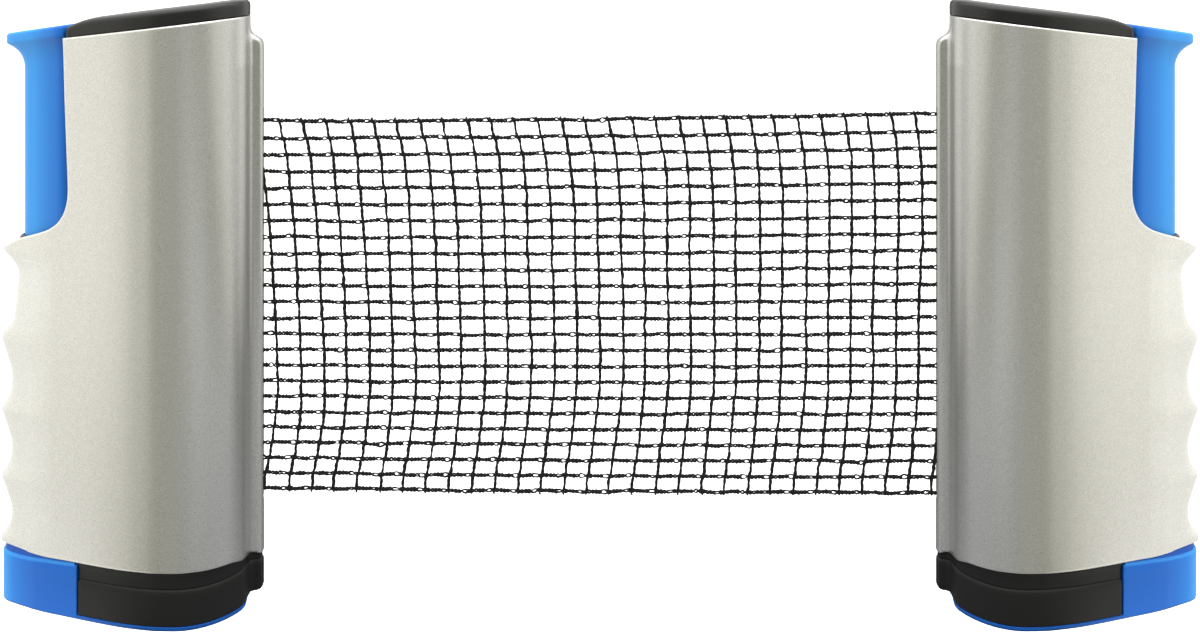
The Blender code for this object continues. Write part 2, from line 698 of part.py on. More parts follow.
def make_anchor():
    place = (DRUM_X, 0, 0)
    turned("anchor_tube", tube(CORE_BORE_R, CORE_R, CORE_BOTTOM, 186.6), 28, WHITE, place,
           closed=True)
    turned("anchor_wrap", tube(WOUND_R, 8.8, *NET_Z), 28, NET, place, closed=True)
    make_axle(1, "anchor", "collar")


# ---------------------------------------------------------------- net
# Path seen from above (X, Y): off the roll, through both slots, onto the front of the anchor.
NET_PATH = [(-123.45, -4.2), (-123.15, 0.0), (123.15, 0.0), (135.8, -8.1)]
NET_HALF_THICKNESS = 0.3
NET_HEM = 1.3           # from the net's edges to the edges of the mesh
CORD_R = 0.5
CORD_END = 119.5        # the cords end inside each lip


def make_net():
    near, far = [], []
    for i, (x, y) in enumerate(NET_PATH):
        before, after = NET_PATH[max(i - 1, 0)], NET_PATH[min(i + 1, len(NET_PATH) - 1)]
        normal = Vector((before[1] - after[1], after[0] - before[0])).normalized()
        shift = normal * NET_HALF_THICKNESS
        near.append((x - shift.x, y - shift.y))
        far.append((x + shift.x, y + shift.y))
    outline = near + far[::-1]
    heights = (NET_Z[0] + NET_HEM, NET_Z[1] - NET_HEM)
    skin("net_mesh", [[(x, y, z) for x, y in outline] for z in heights], NET)
    for name, z in (("net_top_cord", NET_Z[1] - CORD_R), ("net_bottom_cord", NET_Z[0] + CORD_R)):
        rod(name, 1, (about(0, CORD_END), 0, z), CORD_R, NET, segments=8)


POST_PARTS = (
    make_shells, make_cap, make_base, make_upper_pad, make_lower_jaw, make_lower_pad,
    make_handle, make_collar, make_spring, make_seat, make_guide_pin, make_shell_screws,
    make_jaw_screw,
)
for post_side, post_tag in ((-1, "left"), (1, "right")):
    for make_part in POST_PARTS:
        make_part(post_side, post_tag)
make_spool()
make_retraction_spring()
make_anchor()
make_net()
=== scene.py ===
"""Looks of the retractable table tennis net set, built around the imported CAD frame.

Lengths are millimetres unless a name says otherwise; MM turns them into metres. Every post is built on the
right of the middle with positive distances and mirrored to its side.
"""

import json
import math
import random

import bmesh
import bpy
import numpy as np
from mathutils import Matrix, Vector, kdtree


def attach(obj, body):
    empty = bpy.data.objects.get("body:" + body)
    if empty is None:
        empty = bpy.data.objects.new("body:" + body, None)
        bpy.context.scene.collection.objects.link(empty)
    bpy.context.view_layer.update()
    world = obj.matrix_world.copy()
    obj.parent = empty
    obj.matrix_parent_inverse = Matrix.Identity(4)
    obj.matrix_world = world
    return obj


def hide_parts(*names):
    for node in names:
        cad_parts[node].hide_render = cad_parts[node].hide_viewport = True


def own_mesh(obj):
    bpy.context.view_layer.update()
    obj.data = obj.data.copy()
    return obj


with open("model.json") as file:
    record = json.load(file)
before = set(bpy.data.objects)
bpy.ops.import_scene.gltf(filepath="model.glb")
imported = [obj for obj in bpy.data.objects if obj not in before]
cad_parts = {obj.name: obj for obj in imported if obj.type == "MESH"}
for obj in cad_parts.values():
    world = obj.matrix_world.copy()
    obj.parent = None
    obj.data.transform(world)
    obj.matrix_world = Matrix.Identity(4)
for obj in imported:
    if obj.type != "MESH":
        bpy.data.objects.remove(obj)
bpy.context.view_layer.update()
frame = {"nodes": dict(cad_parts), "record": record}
MM = 0.001
random.seed(7)
SCENE = bpy.context.scene

# ---------------------------------------------------------------- dimensions shared with the CAD
DRUM = 140.5
SHELL_BOTTOM = 18.6
TOP_AT_DRUM, TOP_SLOPE = 199.7, 0.118
RIDGE_END = 208.4
SPLIT = 0.15            # half the joint line between front and rear shell
BLOCK = 175.6
EDGE = 180.0
SCREW_A = 168.5
SCREW_Z = (38.0, 104.0, 180.0)


def top(a):
    return TOP_AT_DRUM + TOP_SLOPE * (DRUM - a)


# ---------------------------------------------------------------- node helpers for materials
def new_material(name):
    m = bpy.data.materials.new(name)
    m.use_nodes = True
    t = m.node_tree
    t.nodes.clear()
    out = t.nodes.new("ShaderNodeOutputMaterial")
    b = t.nodes.new("ShaderNodeBsdfPrincipled")
    t.links.new(b.outputs["BSDF"], out.inputs["Surface"])
    return m, t, b


def node(t, kind, **values):
    n = t.nodes.new(kind)
    for k, v in values.items():
        if k in n.inputs:
            n.inputs[k].default_value = v
        else:
            setattr(n, k, v)
    return n


def coords(t, scale=(1, 1, 1)):
    c = t.nodes.new("ShaderNodeTexCoord")
    m = t.nodes.new("ShaderNodeMapping")
    m.inputs["Scale"].default_value = scale
    t.links.new(c.outputs["Object"], m.inputs["Vector"])
    return m.outputs["Vector"]


def noise(t, vector, scale, detail=2.0, rough=0.5):
    n = node(t, "ShaderNodeTexNoise")
    n.inputs["Scale"].default_value = scale
    n.inputs["Detail"].default_value = detail
    n.inputs["Roughness"].default_value = rough
    t.links.new(vector, n.inputs["Vector"])
    return n.outputs["Fac"]


def remap(t, value, lo, hi, a, b):
    n = t.nodes.new("ShaderNodeMapRange")
    n.inputs["From Min"].default_value, n.inputs["From Max"].default_value = lo, hi
    n.inputs["To Min"].default_value, n.inputs["To Max"].default_value = a, b
    t.links.new(value, n.inputs["Value"])
    return n.outputs["Result"]


def mix(t, fac, a, b):
    n = t.nodes.new("ShaderNodeMix")
    n.data_type = "RGBA"
    if hasattr(fac, "links"):
        t.links.new(fac, n.inputs["Factor"])
    else:
        n.inputs["Factor"].default_value = fac
    for s, v in (("A", a), ("B", b)):
        i = [x for x in n.inputs if x.name == s and x.type == "RGBA"][0]
        if hasattr(v, "links"):
            t.links.new(v, i)
        else:
            i.default_value = (*v, 1.0)
    return [o for o in n.outputs if o.type == "RGBA"][0]


def bump(t, height, strength, distance, normal=None):
    n = t.nodes.new("ShaderNodeBump")
    n.inputs["Strength"].default_value = strength
    n.inputs["Distance"].default_value = distance
    t.links.new(height, n.inputs["Height"])
    if normal is not None:
        t.links.new(normal, n.inputs["Normal"])
    return n.outputs["Normal"]


def maths(t, op, a, b=None):
    n = t.nodes.new("ShaderNodeMath")
    n.operation = op
    for i, v in enumerate((a, b)):
        if v is None:
            continue
        if hasattr(v, "links"):
            t.links.new(v, n.inputs[i])
        else:
            n.inputs[i].default_value = v
    return n.outputs[0]


def round_edges(t, radius_mm, samples=6):
    n = t.nodes.new("ShaderNodeBevel")
    n.samples = samples
    n.inputs["Radius"].default_value = radius_mm * MM
    return n.outputs["Normal"]


def silver():
    m, t, b = new_material("silver_paint")
    v = coords(t)
    fine = noise(t, v, 2600.0, 2.0, 0.6)
    flake = noise(t, v, 3900.0, 1.0, 0.5)
    cloud = noise(t, v, 22.0, 3.0, 0.5)
    base = mix(t, remap(t, flake, 0.40, 0.60, 0.0, 1.0), (0.575, 0.573, 0.553), (0.760, 0.757, 0.736))
    base = mix(t, remap(t, cloud, 0.3, 0.7, 0.0, 0.10), base, (0.64, 0.64, 0.61))
    # painted highlight: the colour lightens on the rounded edges, where the bevelled normal turns away from the face
    edge = round_edges(t, 1.3, 8)
    g = t.nodes.new("ShaderNodeNewGeometry")
    turn = node(t, "ShaderNodeVectorMath", operation="DOT_PRODUCT")
    t.links.new(edge, turn.inputs[0])
    t.links.new(g.outputs["Normal"], turn.inputs[1])
    base = mix(t, remap(t, turn.outputs["Value"], 0.992, 0.90, 0.0, 0.8), base, (0.97, 0.97, 0.94))
    # painted shade: darker on the flank towards the net, and in the hollow along the slot's lip
    parts = t.nodes.new("ShaderNodeSeparateXYZ")
    t.links.new(v, parts.inputs[0])
    dist = maths(t, "ABSOLUTE", parts.outputs[0])
    flank = maths(t, "MULTIPLY", remap(t, dist, 0.1315, 0.1265, 0.0, 0.26), remap(t, parts.outputs[2], 0.072, 0.135, 0.0, 1.0))
    hollow = maths(t, "MULTIPLY", remap(t, dist, 0.1246, 0.1226, 0.0, 0.36), remap(t, dist, 0.1186, 0.1202, 0.0, 1.0))
    hollow = maths(t, "MULTIPLY", hollow, remap(t, parts.outputs[2], 0.192, 0.184, 0.0, 1.0))
    hollow = maths(t, "MULTIPLY", hollow, remap(t, parts.outputs[2], 0.030, 0.110, 0.45, 1.0))
    base = mix(t, maths(t, "MAXIMUM", flank, hollow), base, (0.0, 0.0, 0.0))
    t.links.new(base, b.inputs["Base Color"])
    b.inputs["Metallic"].default_value = 0.82
    t.links.new(remap(t, fine, 0.3, 0.7, 0.27, 0.35), b.inputs["Roughness"])
    b.inputs["Coat Weight"].default_value = 0.12
    b.inputs["Coat Roughness"].default_value = 0.35
    t.links.new(bump(t, fine, 0.13, 0.00006, edge), b.inputs["Normal"])
    return m


def plastic(name, colour, rough, grain=0.10, scale=1400.0, radius=0.4, variation=0.06, spec=0.5, coat=0.0):
    m, t, b = new_material(name)
    v = coords(t)
    fine = noise(t, v, scale, 3.0, 0.6)
    broad = noise(t, v, 35.0, 2.0, 0.5)
    dark = tuple(c * (1 - variation) for c in colour)
    light = tuple(min(1.0, c * (1 + variation)) for c in colour)
    t.links.new(mix(t, remap(t, broad, 0.3, 0.7, 0.0, 1.0), dark, light), b.inputs["Base Color"])
    t.links.new(remap(t, fine, 0.3, 0.7, rough - 0.05, rough + 0.06), b.inputs["Roughness"])
    b.inputs["Specular IOR Level"].default_value = spec
    b.inputs["Coat Weight"].default_value = coat
    t.links.new(bump(t, fine, grain, 0.00008, round_edges(t, radius)), b.inputs["Normal"])
    return m


def shaded_blue(name, stops, rough, foot=None, brow_shade=None, spec=0.35):
    """Blue moulding with painted shade, its colour deepening towards the drum: stops are (distance from the middle in
    mm, colour).
    """
    m, t, b = new_material(name)
    v = coords(t)
    fine = noise(t, v, 1400.0, 3.0, 0.6)
    parts = t.nodes.new("ShaderNodeSeparateXYZ")
    t.links.new(v, parts.inputs[0])
    dist = maths(t, "ABSOLUTE", parts.outputs[0])
    r = t.nodes.new("ShaderNodeValToRGB")
    e = r.color_ramp.elements
    while len(e) < len(stops):
        e.new(0.5)
    for el, (mm, c) in zip(e, stops):
        el.position = (mm - 170.0) / 40.0
        el.color = (*c, 1.0)
    t.links.new(remap(t, dist, 0.170, 0.210, 0.0, 1.0), r.inputs[0])
    colour = r.outputs[0]
    # painted shade: the thin plate under the pad and the bottom edge take the darker foot colour
    if foot is not None:
        plate = maths(t, "MULTIPLY", remap(t, dist, 0.1762, 0.1753, 0.0, 1.0), remap(t, parts.outputs[2], 0.0016, 0.0020, 1.0, 0.0))
        low = maths(t, "MAXIMUM", plate, remap(t, parts.outputs[2], 0.0003, 0.0012, 1.0, 0.0))
        colour = mix(t, low, colour, foot)
    if brow_shade is not None:
        # painted highlight along the block's front edge, and painted shade on the ledge above it, under the post
        rise = node(t, "ShaderNodeAttribute", attribute_name="rise").outputs["Fac"]
        colour = mix(t, maths(t, "MULTIPLY", remap(t, rise, -0.0002, 0.0004, 0.0, 0.40), remap(t, parts.outputs[2], 0.010, 0.012, 0.0, 1.0)), colour, (0.07, 0.42, 0.95))
        colour = mix(t, remap(t, rise, 0.00086, 0.00112, 0.0, 1.0), colour, brow_shade)
    t.links.new(colour, b.inputs["Base Color"])
    t.links.new(remap(t, fine, 0.3, 0.7, rough - 0.05, rough + 0.06), b.inputs["Roughness"])
    b.inputs["Specular IOR Level"].default_value = spec
    t.links.new(bump(t, fine, 0.10, 0.00008, round_edges(t, 0.6)), b.inputs["Normal"])
    return m


def steel():
    m, t, b = new_material("bright_steel")
    v = coords(t, (1, 1, 6))
    brushed = noise(t, v, 900.0, 3.0, 0.6)
    t.links.new(mix(t, brushed, (0.50, 0.50, 0.51), (0.66, 0.66, 0.67)), b.inputs["Base Color"])
    b.inputs["Metallic"].default_value = 1.0
    t.links.new(remap(t, brushed, 0.3, 0.7, 0.22, 0.36), b.inputs["Roughness"])
    t.links.new(bump(t, brushed, 0.12, 0.00004), b.inputs["Normal"])
    return m


def thread():
    m, t, b = new_material("net_thread")
    v = coords(t)
    fibre = noise(t, v, 3800.0, 3.0, 0.7)
    t.links.new(mix(t, fibre, (0.004, 0.004, 0.005), (0.014, 0.014, 0.016)), b.inputs["Base Color"])
    b.inputs["Roughness"].default_value = 0.85
    b.inputs["Specular IOR Level"].default_value = 0.25
    b.inputs["Sheen Weight"].default_value = 0.15
    b.inputs["Sheen Roughness"].default_value = 0.4
    t.links.new(bump(t, fibre, 0.5, 0.0001), b.inputs["Normal"])
    return m


SILVER = silver()
BLACK = plastic("black_plastic", (0.0108, 0.0108, 0.0108), 0.34, grain=0.12, radius=0.5, spec=0.42)
RUBBER = plastic("black_rubber", (0.0135, 0.0135, 0.0135), 0.52, grain=0.2, scale=900.0, radius=0.5, spec=0.20)
BASE = plastic("black_base", (0.0135, 0.0135, 0.0135), 0.48, grain=0.12, radius=0.5, spec=0.20)
INSIDE = plastic("black_inside", (0.012, 0.012, 0.012), 0.6, radius=0.3)
BLUE = plastic("blue_plastic", (0.018, 0.262, 0.86), 0.42, grain=0.07, radius=0.6, variation=0.03, spec=0.35)
# painted shade: both blues darken towards the drum; the jaw also takes painted shade at its foot and under the post
BLUE_HANDLE = shaded_blue("blue_handle", [(178.0, (0.012, 0.160, 0.66)), (183.5, (0.014, 0.175, 0.69)), (189.0, (0.024, 0.255, 0.80)), (194.0, (0.036, 0.340, 0.92)), (206.0, (0.038, 0.345, 0.93))], 0.42)
BLUE_JAW = shaded_blue("blue_jaw", [(172.0, (0.0085, 0.128, 0.56)), (191.5, (0.0095, 0.130, 0.57)), (197.0, (0.013, 0.160, 0.63)), (201.6, (0.019, 0.210, 0.72)), (205.0, (0.040, 0.310, 0.83))], 0.42,
                       foot=(0.008, 0.100, 0.44), brow_shade=(0.009, 0.100, 0.52), spec=0.2)
NATURAL = plastic("natural_plastic", (0.70, 0.68, 0.62), 0.5, grain=0.08)
STEEL = steel()
THREAD = thread()


# ---------------------------------------------------------------- mesh helpers
def curve(points, step=1.0, closed=False, even=True):
    """Smooth centripetal spline through points, resampled about every step."""
    p = np.array(points, float)
    n = len(p)
    ext = np.vstack([2 * p[0] - p[1], p, 2 * p[-1] - p[-2]])
    out = []
    for i in range(n - 1):
        p0, p1, p2, p3 = ext[i], ext[i + 1], ext[i + 2], ext[i + 3]
        t0 = 0.0
        t1 = t0 + max(1e-6, np.linalg.norm(p1 - p0)) ** 0.5
        t2 = t1 + max(1e-6, np.linalg.norm(p2 - p1)) ** 0.5
        t3 = t2 + max(1e-6, np.linalg.norm(p3 - p2)) ** 0.5
        k = max(2, int(math.ceil(np.linalg.norm(p2 - p1) / step * 4)))
        for j in range(k):
            t = t1 + (t2 - t1) * j / k
            a1 = (t1 - t) / (t1 - t0) * p0 + (t - t0) / (t1 - t0) * p1
            a2 = (t2 - t) / (t2 - t1) * p1 + (t - t1) / (t2 - t1) * p2
            a3 = (t3 - t) / (t3 - t2) * p2 + (t - t2) / (t3 - t2) * p3
            b1 = (t2 - t) / (t2 - t0) * a1 + (t - t0) / (t2 - t0) * a2
            b2 = (t3 - t) / (t3 - t1) * a2 + (t - t1) / (t3 - t1) * a3
            out.append((t2 - t) / (t2 - t1) * b1 + (t - t1) / (t2 - t1) * b2)
    out.append(p[-1])
    out = np.array(out)
    if not even:
        return out
    d = np.concatenate([[0], np.cumsum(np.linalg.norm(np.diff(out, axis=0), axis=1))])
    m = max(3, int(round(d[-1] / step)))
    s = np.linspace(0, d[-1], m + 1)
    return np.stack([np.interp(s, d, out[:, k]) for k in range(out.shape[1])], axis=1)


def obj_from(verts, faces, name, mats, indices=None, smooth=True):
    mesh = bpy.data.meshes.new(name)
    mesh.from_pydata([tuple(v) for v in verts], [], [tuple(f) for f in faces])
    for m in mats if isinstance(mats, (list, tuple)) else [mats]:
        mesh.materials.append(m)
    if indices is not None:
        mesh.polygons.foreach_set("material_index", indices)
    mesh.polygons.foreach_set("use_smooth", [smooth] * len(mesh.polygons))
    mesh.update()
    o = bpy.data.objects.new(name, mesh)
    SCENE.collection.objects.link(o)
    return o


def lofted(rings, name, mats, cap=True, index=0, cap_index=None):
    """Closed body through rings (levels, points, 3), listed from the bottom up, in mm."""
    r = np.array(rings, float) * MM
    lv, n = r.shape[:2]
    verts = r.reshape(-1, 3)
    faces, idx = [], []
    for i in range(lv - 1):
        a, b = i * n, (i + 1) * n
        for j in range(n):
            k = (j + 1) % n
            faces.append((a + j, a + k, b + k, b + j))
            idx.append(index)
    if cap:
        faces.append(tuple(range(n))[::-1])
        faces.append(tuple(range((lv - 1) * n, lv * n)))
        idx += [index if cap_index is None else cap_index] * 2
    o = obj_from(verts, faces, name, mats, idx)
    bm = bmesh.new()
    bm.from_mesh(o.data)
    bmesh.ops.recalc_face_normals(bm, faces=bm.faces)
    bm.to_mesh(o.data)
    bm.free()
    return o


def ring2(half):
    """Closed plan outline from a half outline (distance, half width >= 0), first and last on the centre plane."""
    h = np.array(half, float)
    return np.vstack([h * [1, -1], h[::-1][1:-1]])


def at_height(outline, z):
    z = z(outline[:, 0]) if callable(z) else np.full(len(outline), float(z))
    return np.column_stack([outline, z])


def offset(half, d):
    """Half outline moved inwards by d; points that would cross the outline again are drawn onto a line."""
    h = np.array(half, float)
    if abs(d) < 1e-9:
        return h
    ext = np.vstack([h[1] * [1, -1], h, h[-2] * [1, -1]])
    seg = np.diff(ext, axis=0)
    seg /= np.linalg.norm(seg, axis=1)[:, None] + 1e-12
    side = np.column_stack([-seg[:, 1], seg[:, 0]])      # inwards, as the outline starts at the far end
    nrm = side[:-1] + side[1:]
    nrm /= np.linalg.norm(nrm, axis=1)[:, None] + 1e-12
    nrm /= np.maximum(0.7, (nrm * side[1:]).sum(axis=1))[:, None]
    out = h + nrm * d
    a, b = ext[:-1], ext[1:]
    ab = b - a
    t = ((out[:, None, :] - a[None]) * ab[None]).sum(-1) / ((ab * ab).sum(-1) + 1e-12)[None]
    near = a[None] + np.clip(t, 0, 1)[..., None] * ab[None]
    far_enough = np.linalg.norm(out[:, None, :] - near, axis=-1).min(axis=1) > abs(d) * 0.97 - 1e-3
    good = far_enough & (out[:, 1] >= -1e-9)
    good[0] = good[-1] = True
    i = np.arange(len(h))
    out = np.column_stack([np.interp(i, i[good], out[good, k]) for k in range(2)])
    out[0, 1] = out[-1, 1] = 0.0
    return out


def clip(half, near=None, far=None, corner=0.0, steps=4):
    """Part of a half outline between two distances, closed by straight walls with rounded corners."""
    h = [tuple(p) for p in half]
    if far is not None:
        i = next(k for k, p in enumerate(h) if p[0] < far)
        y = float(np.interp(far, [h[i][0], h[i - 1][0]], [h[i][1], h[i - 1][1]]))
        c = min(corner, y * 0.9)
        head = [(far, 0.0)]
        if c > 0:
            ny = float(np.interp(far - c, [p[0] for p in h[::-1]][-len(h):], [p[1] for p in h[::-1]]))
            for s in range(steps + 1):
                a = math.pi / 2 * s / steps
                head.append((far - c * (1 - math.cos(a)), (y - c) + (ny - y + c) * math.sin(a)))
            h = head + [p for p in h[i:] if p[0] < far - c - 0.2]
        else:
            h = head + [(far, y)] + h[i:]
    if near is not None:
        i = max(k for k, p in enumerate(h) if p[0] > near)
        y = float(np.interp(near, [h[i + 1][0], h[i][0]], [h[i + 1][1], h[i][1]]))
        h = h[: i + 1] + [(near, y), (near, 0.0)]
    return np.array(h)


def boolean(o, other, op="DIFFERENCE", keep=False):
    m = o.modifiers.new("b", "BOOLEAN")
    m.operation, m.object, m.solver, m.material_mode = op, other, "EXACT", "INDEX"
    bpy.context.view_layer.update()
    g = bpy.context.evaluated_depsgraph_get()
    mesh = bpy.data.meshes.new_from_object(o.evaluated_get(g))
    o.modifiers.clear()
    old = o.data
    o.data = mesh
    bpy.data.meshes.remove(old)
    if not keep:
        bpy.data.objects.remove(other)
    return o


def block(x, y, z, mats, index=1, name="cut"):
    bm = bmesh.new()
    bmesh.ops.create_cube(bm, size=1.0)
    lo, hi = [min(v) for v in (x, y, z)], [max(v) for v in (x, y, z)]
    for v in bm.verts:
        v.co = Vector([(lo[k] if v.co[k] < 0 else hi[k]) * MM for k in range(3)])
    mesh = bpy.data.meshes.new(name)
    bm.to_mesh(mesh)
    bm.free()
    for m in mats:
        mesh.materials.append(m)
    mesh.polygons.foreach_set("material_index", [index] * len(mesh.polygons))
    o = bpy.data.objects.new(name, mesh)
    SCENE.collection.objects.link(o)
    return o


def prism_xz(points, y0, y1, mats, index=1, name="cut"):
    """Prism along Y from an outline in X and Z."""
    n = len(points)
    verts = [(x * MM, y0 * MM, z * MM) for x, z in points] + [(x * MM, y1 * MM, z * MM) for x, z in points]
    faces = [(i, (i + 1) % n, (i + 1) % n + n, i + n) for i in range(n)] + [tuple(range(n))[::-1], tuple(range(n, 2 * n))]
    o = obj_from(verts, faces, name, mats, [index] * len(faces), smooth=False)
    bm = bmesh.new()
    bm.from_mesh(o.data)
    bmesh.ops.recalc_face_normals(bm, faces=bm.faces)
    bm.to_mesh(o.data)
    bm.free()
    return o


def auto_sharp(o, angle=35):
    o.data.polygons.foreach_set("use_smooth", [True] * len(o.data.polygons))
    o.data.set_sharp_from_angle(angle=math.radians(angle))
    return o


def turned(profile, name, mat, centre, steps=64, axis="Z"):
    """Lathe body from (radius, height) points; a point with radius 0 closes it."""
    verts, faces = [], []
    n = len(profile)
    for i in range(steps):
        a = 2 * math.pi * i / steps
        for r, h in profile:
            verts.append((r * math.cos(a), r * math.sin(a), h))
    for i in range(steps):
        j = (i + 1) % steps
        for k in range(n - 1):
            faces.append((i * n + k, j * n + k, j * n + k + 1, i * n + k + 1))
    v = np.array(verts)
    if axis == "Y":
        v = v[:, [0, 2, 1]] * [1, 1, -1]
    v = (v + np.array(centre)) * MM
    o = obj_from(v, faces, name, mat)
    bm = bmesh.new()
    bm.from_mesh(o.data)
    bmesh.ops.remove_doubles(bm, verts=bm.verts, dist=1e-6)
    bmesh.ops.recalc_face_normals(bm, faces=bm.faces)
    bm.to_mesh(o.data)
    bm.free()
    return auto_sharp(o, 40)


# ---------------------------------------------------------------- plan outlines
END = [(207.6, 0.0), (207.3, 1.3), (206.3, 2.7), (204.4, 4.0), (200.6, 5.7), (196.6, 7.35), (193.2, 8.75), (190.4, 9.75), (187.0, 10.85), (181.0, 12.6),
       (174.9, 14.4), (168.0, 16.4), (161.3, 18.2), (156.5, 19.3), (152.0, 20.1), (147.5, 20.75), (143.2, 20.95)]


def drum_arc(a0, a1, n, r=21.0):
    return [(DRUM - r * math.cos(math.radians(t)), r * math.sin(math.radians(t))) for t in np.linspace(a0, a1, n)]


SIDE_HALF = curve(END, 0.9)
ROUND = drum_arc(94, 27, 26)                 # round the drum towards the net
# the drum's end beside the net, plain (above the lip) and with the lip grown out of it
NOSE_ROUND = [(121.5, 8.8), (121.25, 7.6), (121.2, 6.6), (121.3, 5.6), (121.45, 4.7), (121.6, 3.9), (121.75, 3.2), (121.85, 2.65), (121.92, 2.2), (121.97, 1.75), (122.0, 1.3), (122.0, 0.85), (122.0, 0.4), (122.0, 0.0)]
NOSE_LIP = [(121.5, 8.8), (121.22, 7.6), (121.08, 6.6), (121.0, 5.6), (120.93, 4.7), (120.8, 3.9), (120.55, 3.2), (120.15, 2.78), (119.6, 2.55), (118.9, 2.46), (118.1, 2.42), (117.48, 2.2), (117.16, 1.6), (117.08, 0.0)]
assert len(NOSE_LIP) == len(NOSE_ROUND)


def body_half(end=RIDGE_END, lip=1.0):
    start = 186.0
    side = SIDE_HALF.copy()
    k = (end - start) / (RIDGE_END - 0.5 - start)
    m = side[:, 0] > start
    side[m, 0] = start + (side[m, 0] - start) * k
    a, b = np.array(NOSE_ROUND), np.array(NOSE_LIP)
    return np.vstack([side, ROUND[1:], a + (b - a) * lip])


# ---------------------------------------------------------------- grip silhouette
GROOVES = [
    [(121.4, 0.6), (120.4, 1.2), (118.6, 3.0), (116.8, 4.6), (114.5, 5.9), (110.4, 6.0), (103.8, 5.35), (98.4, 4.65), (95.2, 3.5), (92.9, 1.2), (90.9, 0.0)],
]
SHAPE = [(0.0, 0.0), (0.10, 0.85), (0.24, 2.0), (0.453, 3.6), (0.587, 3.85), (0.774, 3.25), (0.907, 1.6), (1.0, 0.0)]
for hi, lo in ((90.9, 66.1), (66.1, 43.1), (43.1, 20.3)):
    GROOVES.append([(hi - t * (hi - lo), d) for t, d in SHAPE])
_z, _d = [], []
for g in GROOVES:
    c = curve(g, 0.25)
    _z += list(c[:, 0])
    _d += list(c[:, 1])
_o = np.argsort(_z)
GZ = np.arange(17.0, 126.0, 0.1)
GD = np.interp(GZ, np.array(_z)[_o], np.array(_d)[_o], left=0.0, right=0.6)
_k = np.exp(-0.5 * (np.arange(-20, 21) * 0.1 / 0.32) ** 2)
GD = np.convolve(np.pad(GD, 20, mode="edge"), _k / _k.sum(), mode="valid")


def end_at(z):
    return RIDGE_END - float(np.interp(z, GZ, GD))


LIP_FADE = [(190.2, 1.0), (191.2, 0.995), (192.1, 0.97), (192.8, 0.93), (193.4, 0.87), (194.0, 0.76), (194.6, 0.62), (195.2, 0.46), (195.8, 0.31), (196.4, 0.19), (197.2, 0.10), (198.2, 0.045), (199.4, 0.01), (200.4, 0.0)]
J_CURVE = [(181.6, 214.0), (181.2, 200.0), (180.7, 190.0), (180.1, 172.0), (179.4, 156.0), (179.0, 146.0), (179.0, 142.6), (179.5, 139.0), (180.9, 135.4),
           (183.2, 132.4), (186.4, 130.2), (190.1, 128.7), (195.2, 127.1), (199.6, 125.6), (203.4, 123.8), (206.4, 122.2), (208.6, 121.2)]
COLUMN = [(199.8, 0.0), (199.6, 1.2), (198.9, 2.5), (197.6, 3.8), (195.2, 5.1), (191.6, 6.5), (187.0, 7.9), (183.6, 8.75), (182.4, 8.7), (181.5, 8.0), (181.2, 6.8), (181.2, 0.0)]
FLANGE = [(206.0, 0.0), (205.8, 1.3), (205.0, 2.8), (203.2, 4.3), (199.6, 6.1), (194.8, 8.1), (188.6, 10.3), (183.6, 11.9), (182.0, 11.9), (181.3, 11.2), (181.2, 9.4), (181.2, 0.0)]


def same_count(a, b, step):
    """Two outlines with matching control points, resampled alike."""
    pa, pb = np.array(a), np.array(b)
    counts = [max(1, int(round(max(np.linalg.norm(pa[i + 1] - pa[i]), np.linalg.norm(pb[i + 1] - pb[i])) / step))) for i in range(len(pa) - 1)]
    def fine(p):
        d = curve(p, 0.2, even=False)
        # positions of the control points along the spline
        idx = [int(np.argmin(np.linalg.norm(d - q, axis=1))) for q in p]
        out = []
        for i, c in enumerate(counts):
            seg = d[idx[i]: idx[i + 1] + 1]
            s = np.concatenate([[0], np.cumsum(np.linalg.norm(np.diff(seg, axis=0), axis=1))])
            for j in range(c):
                out.append([np.interp(s[-1] * j / c, s, seg[:, k]) for k in range(2)])
        out.append(list(p[-1]))
        return np.array(out)
    return fine(pa), fine(pb)


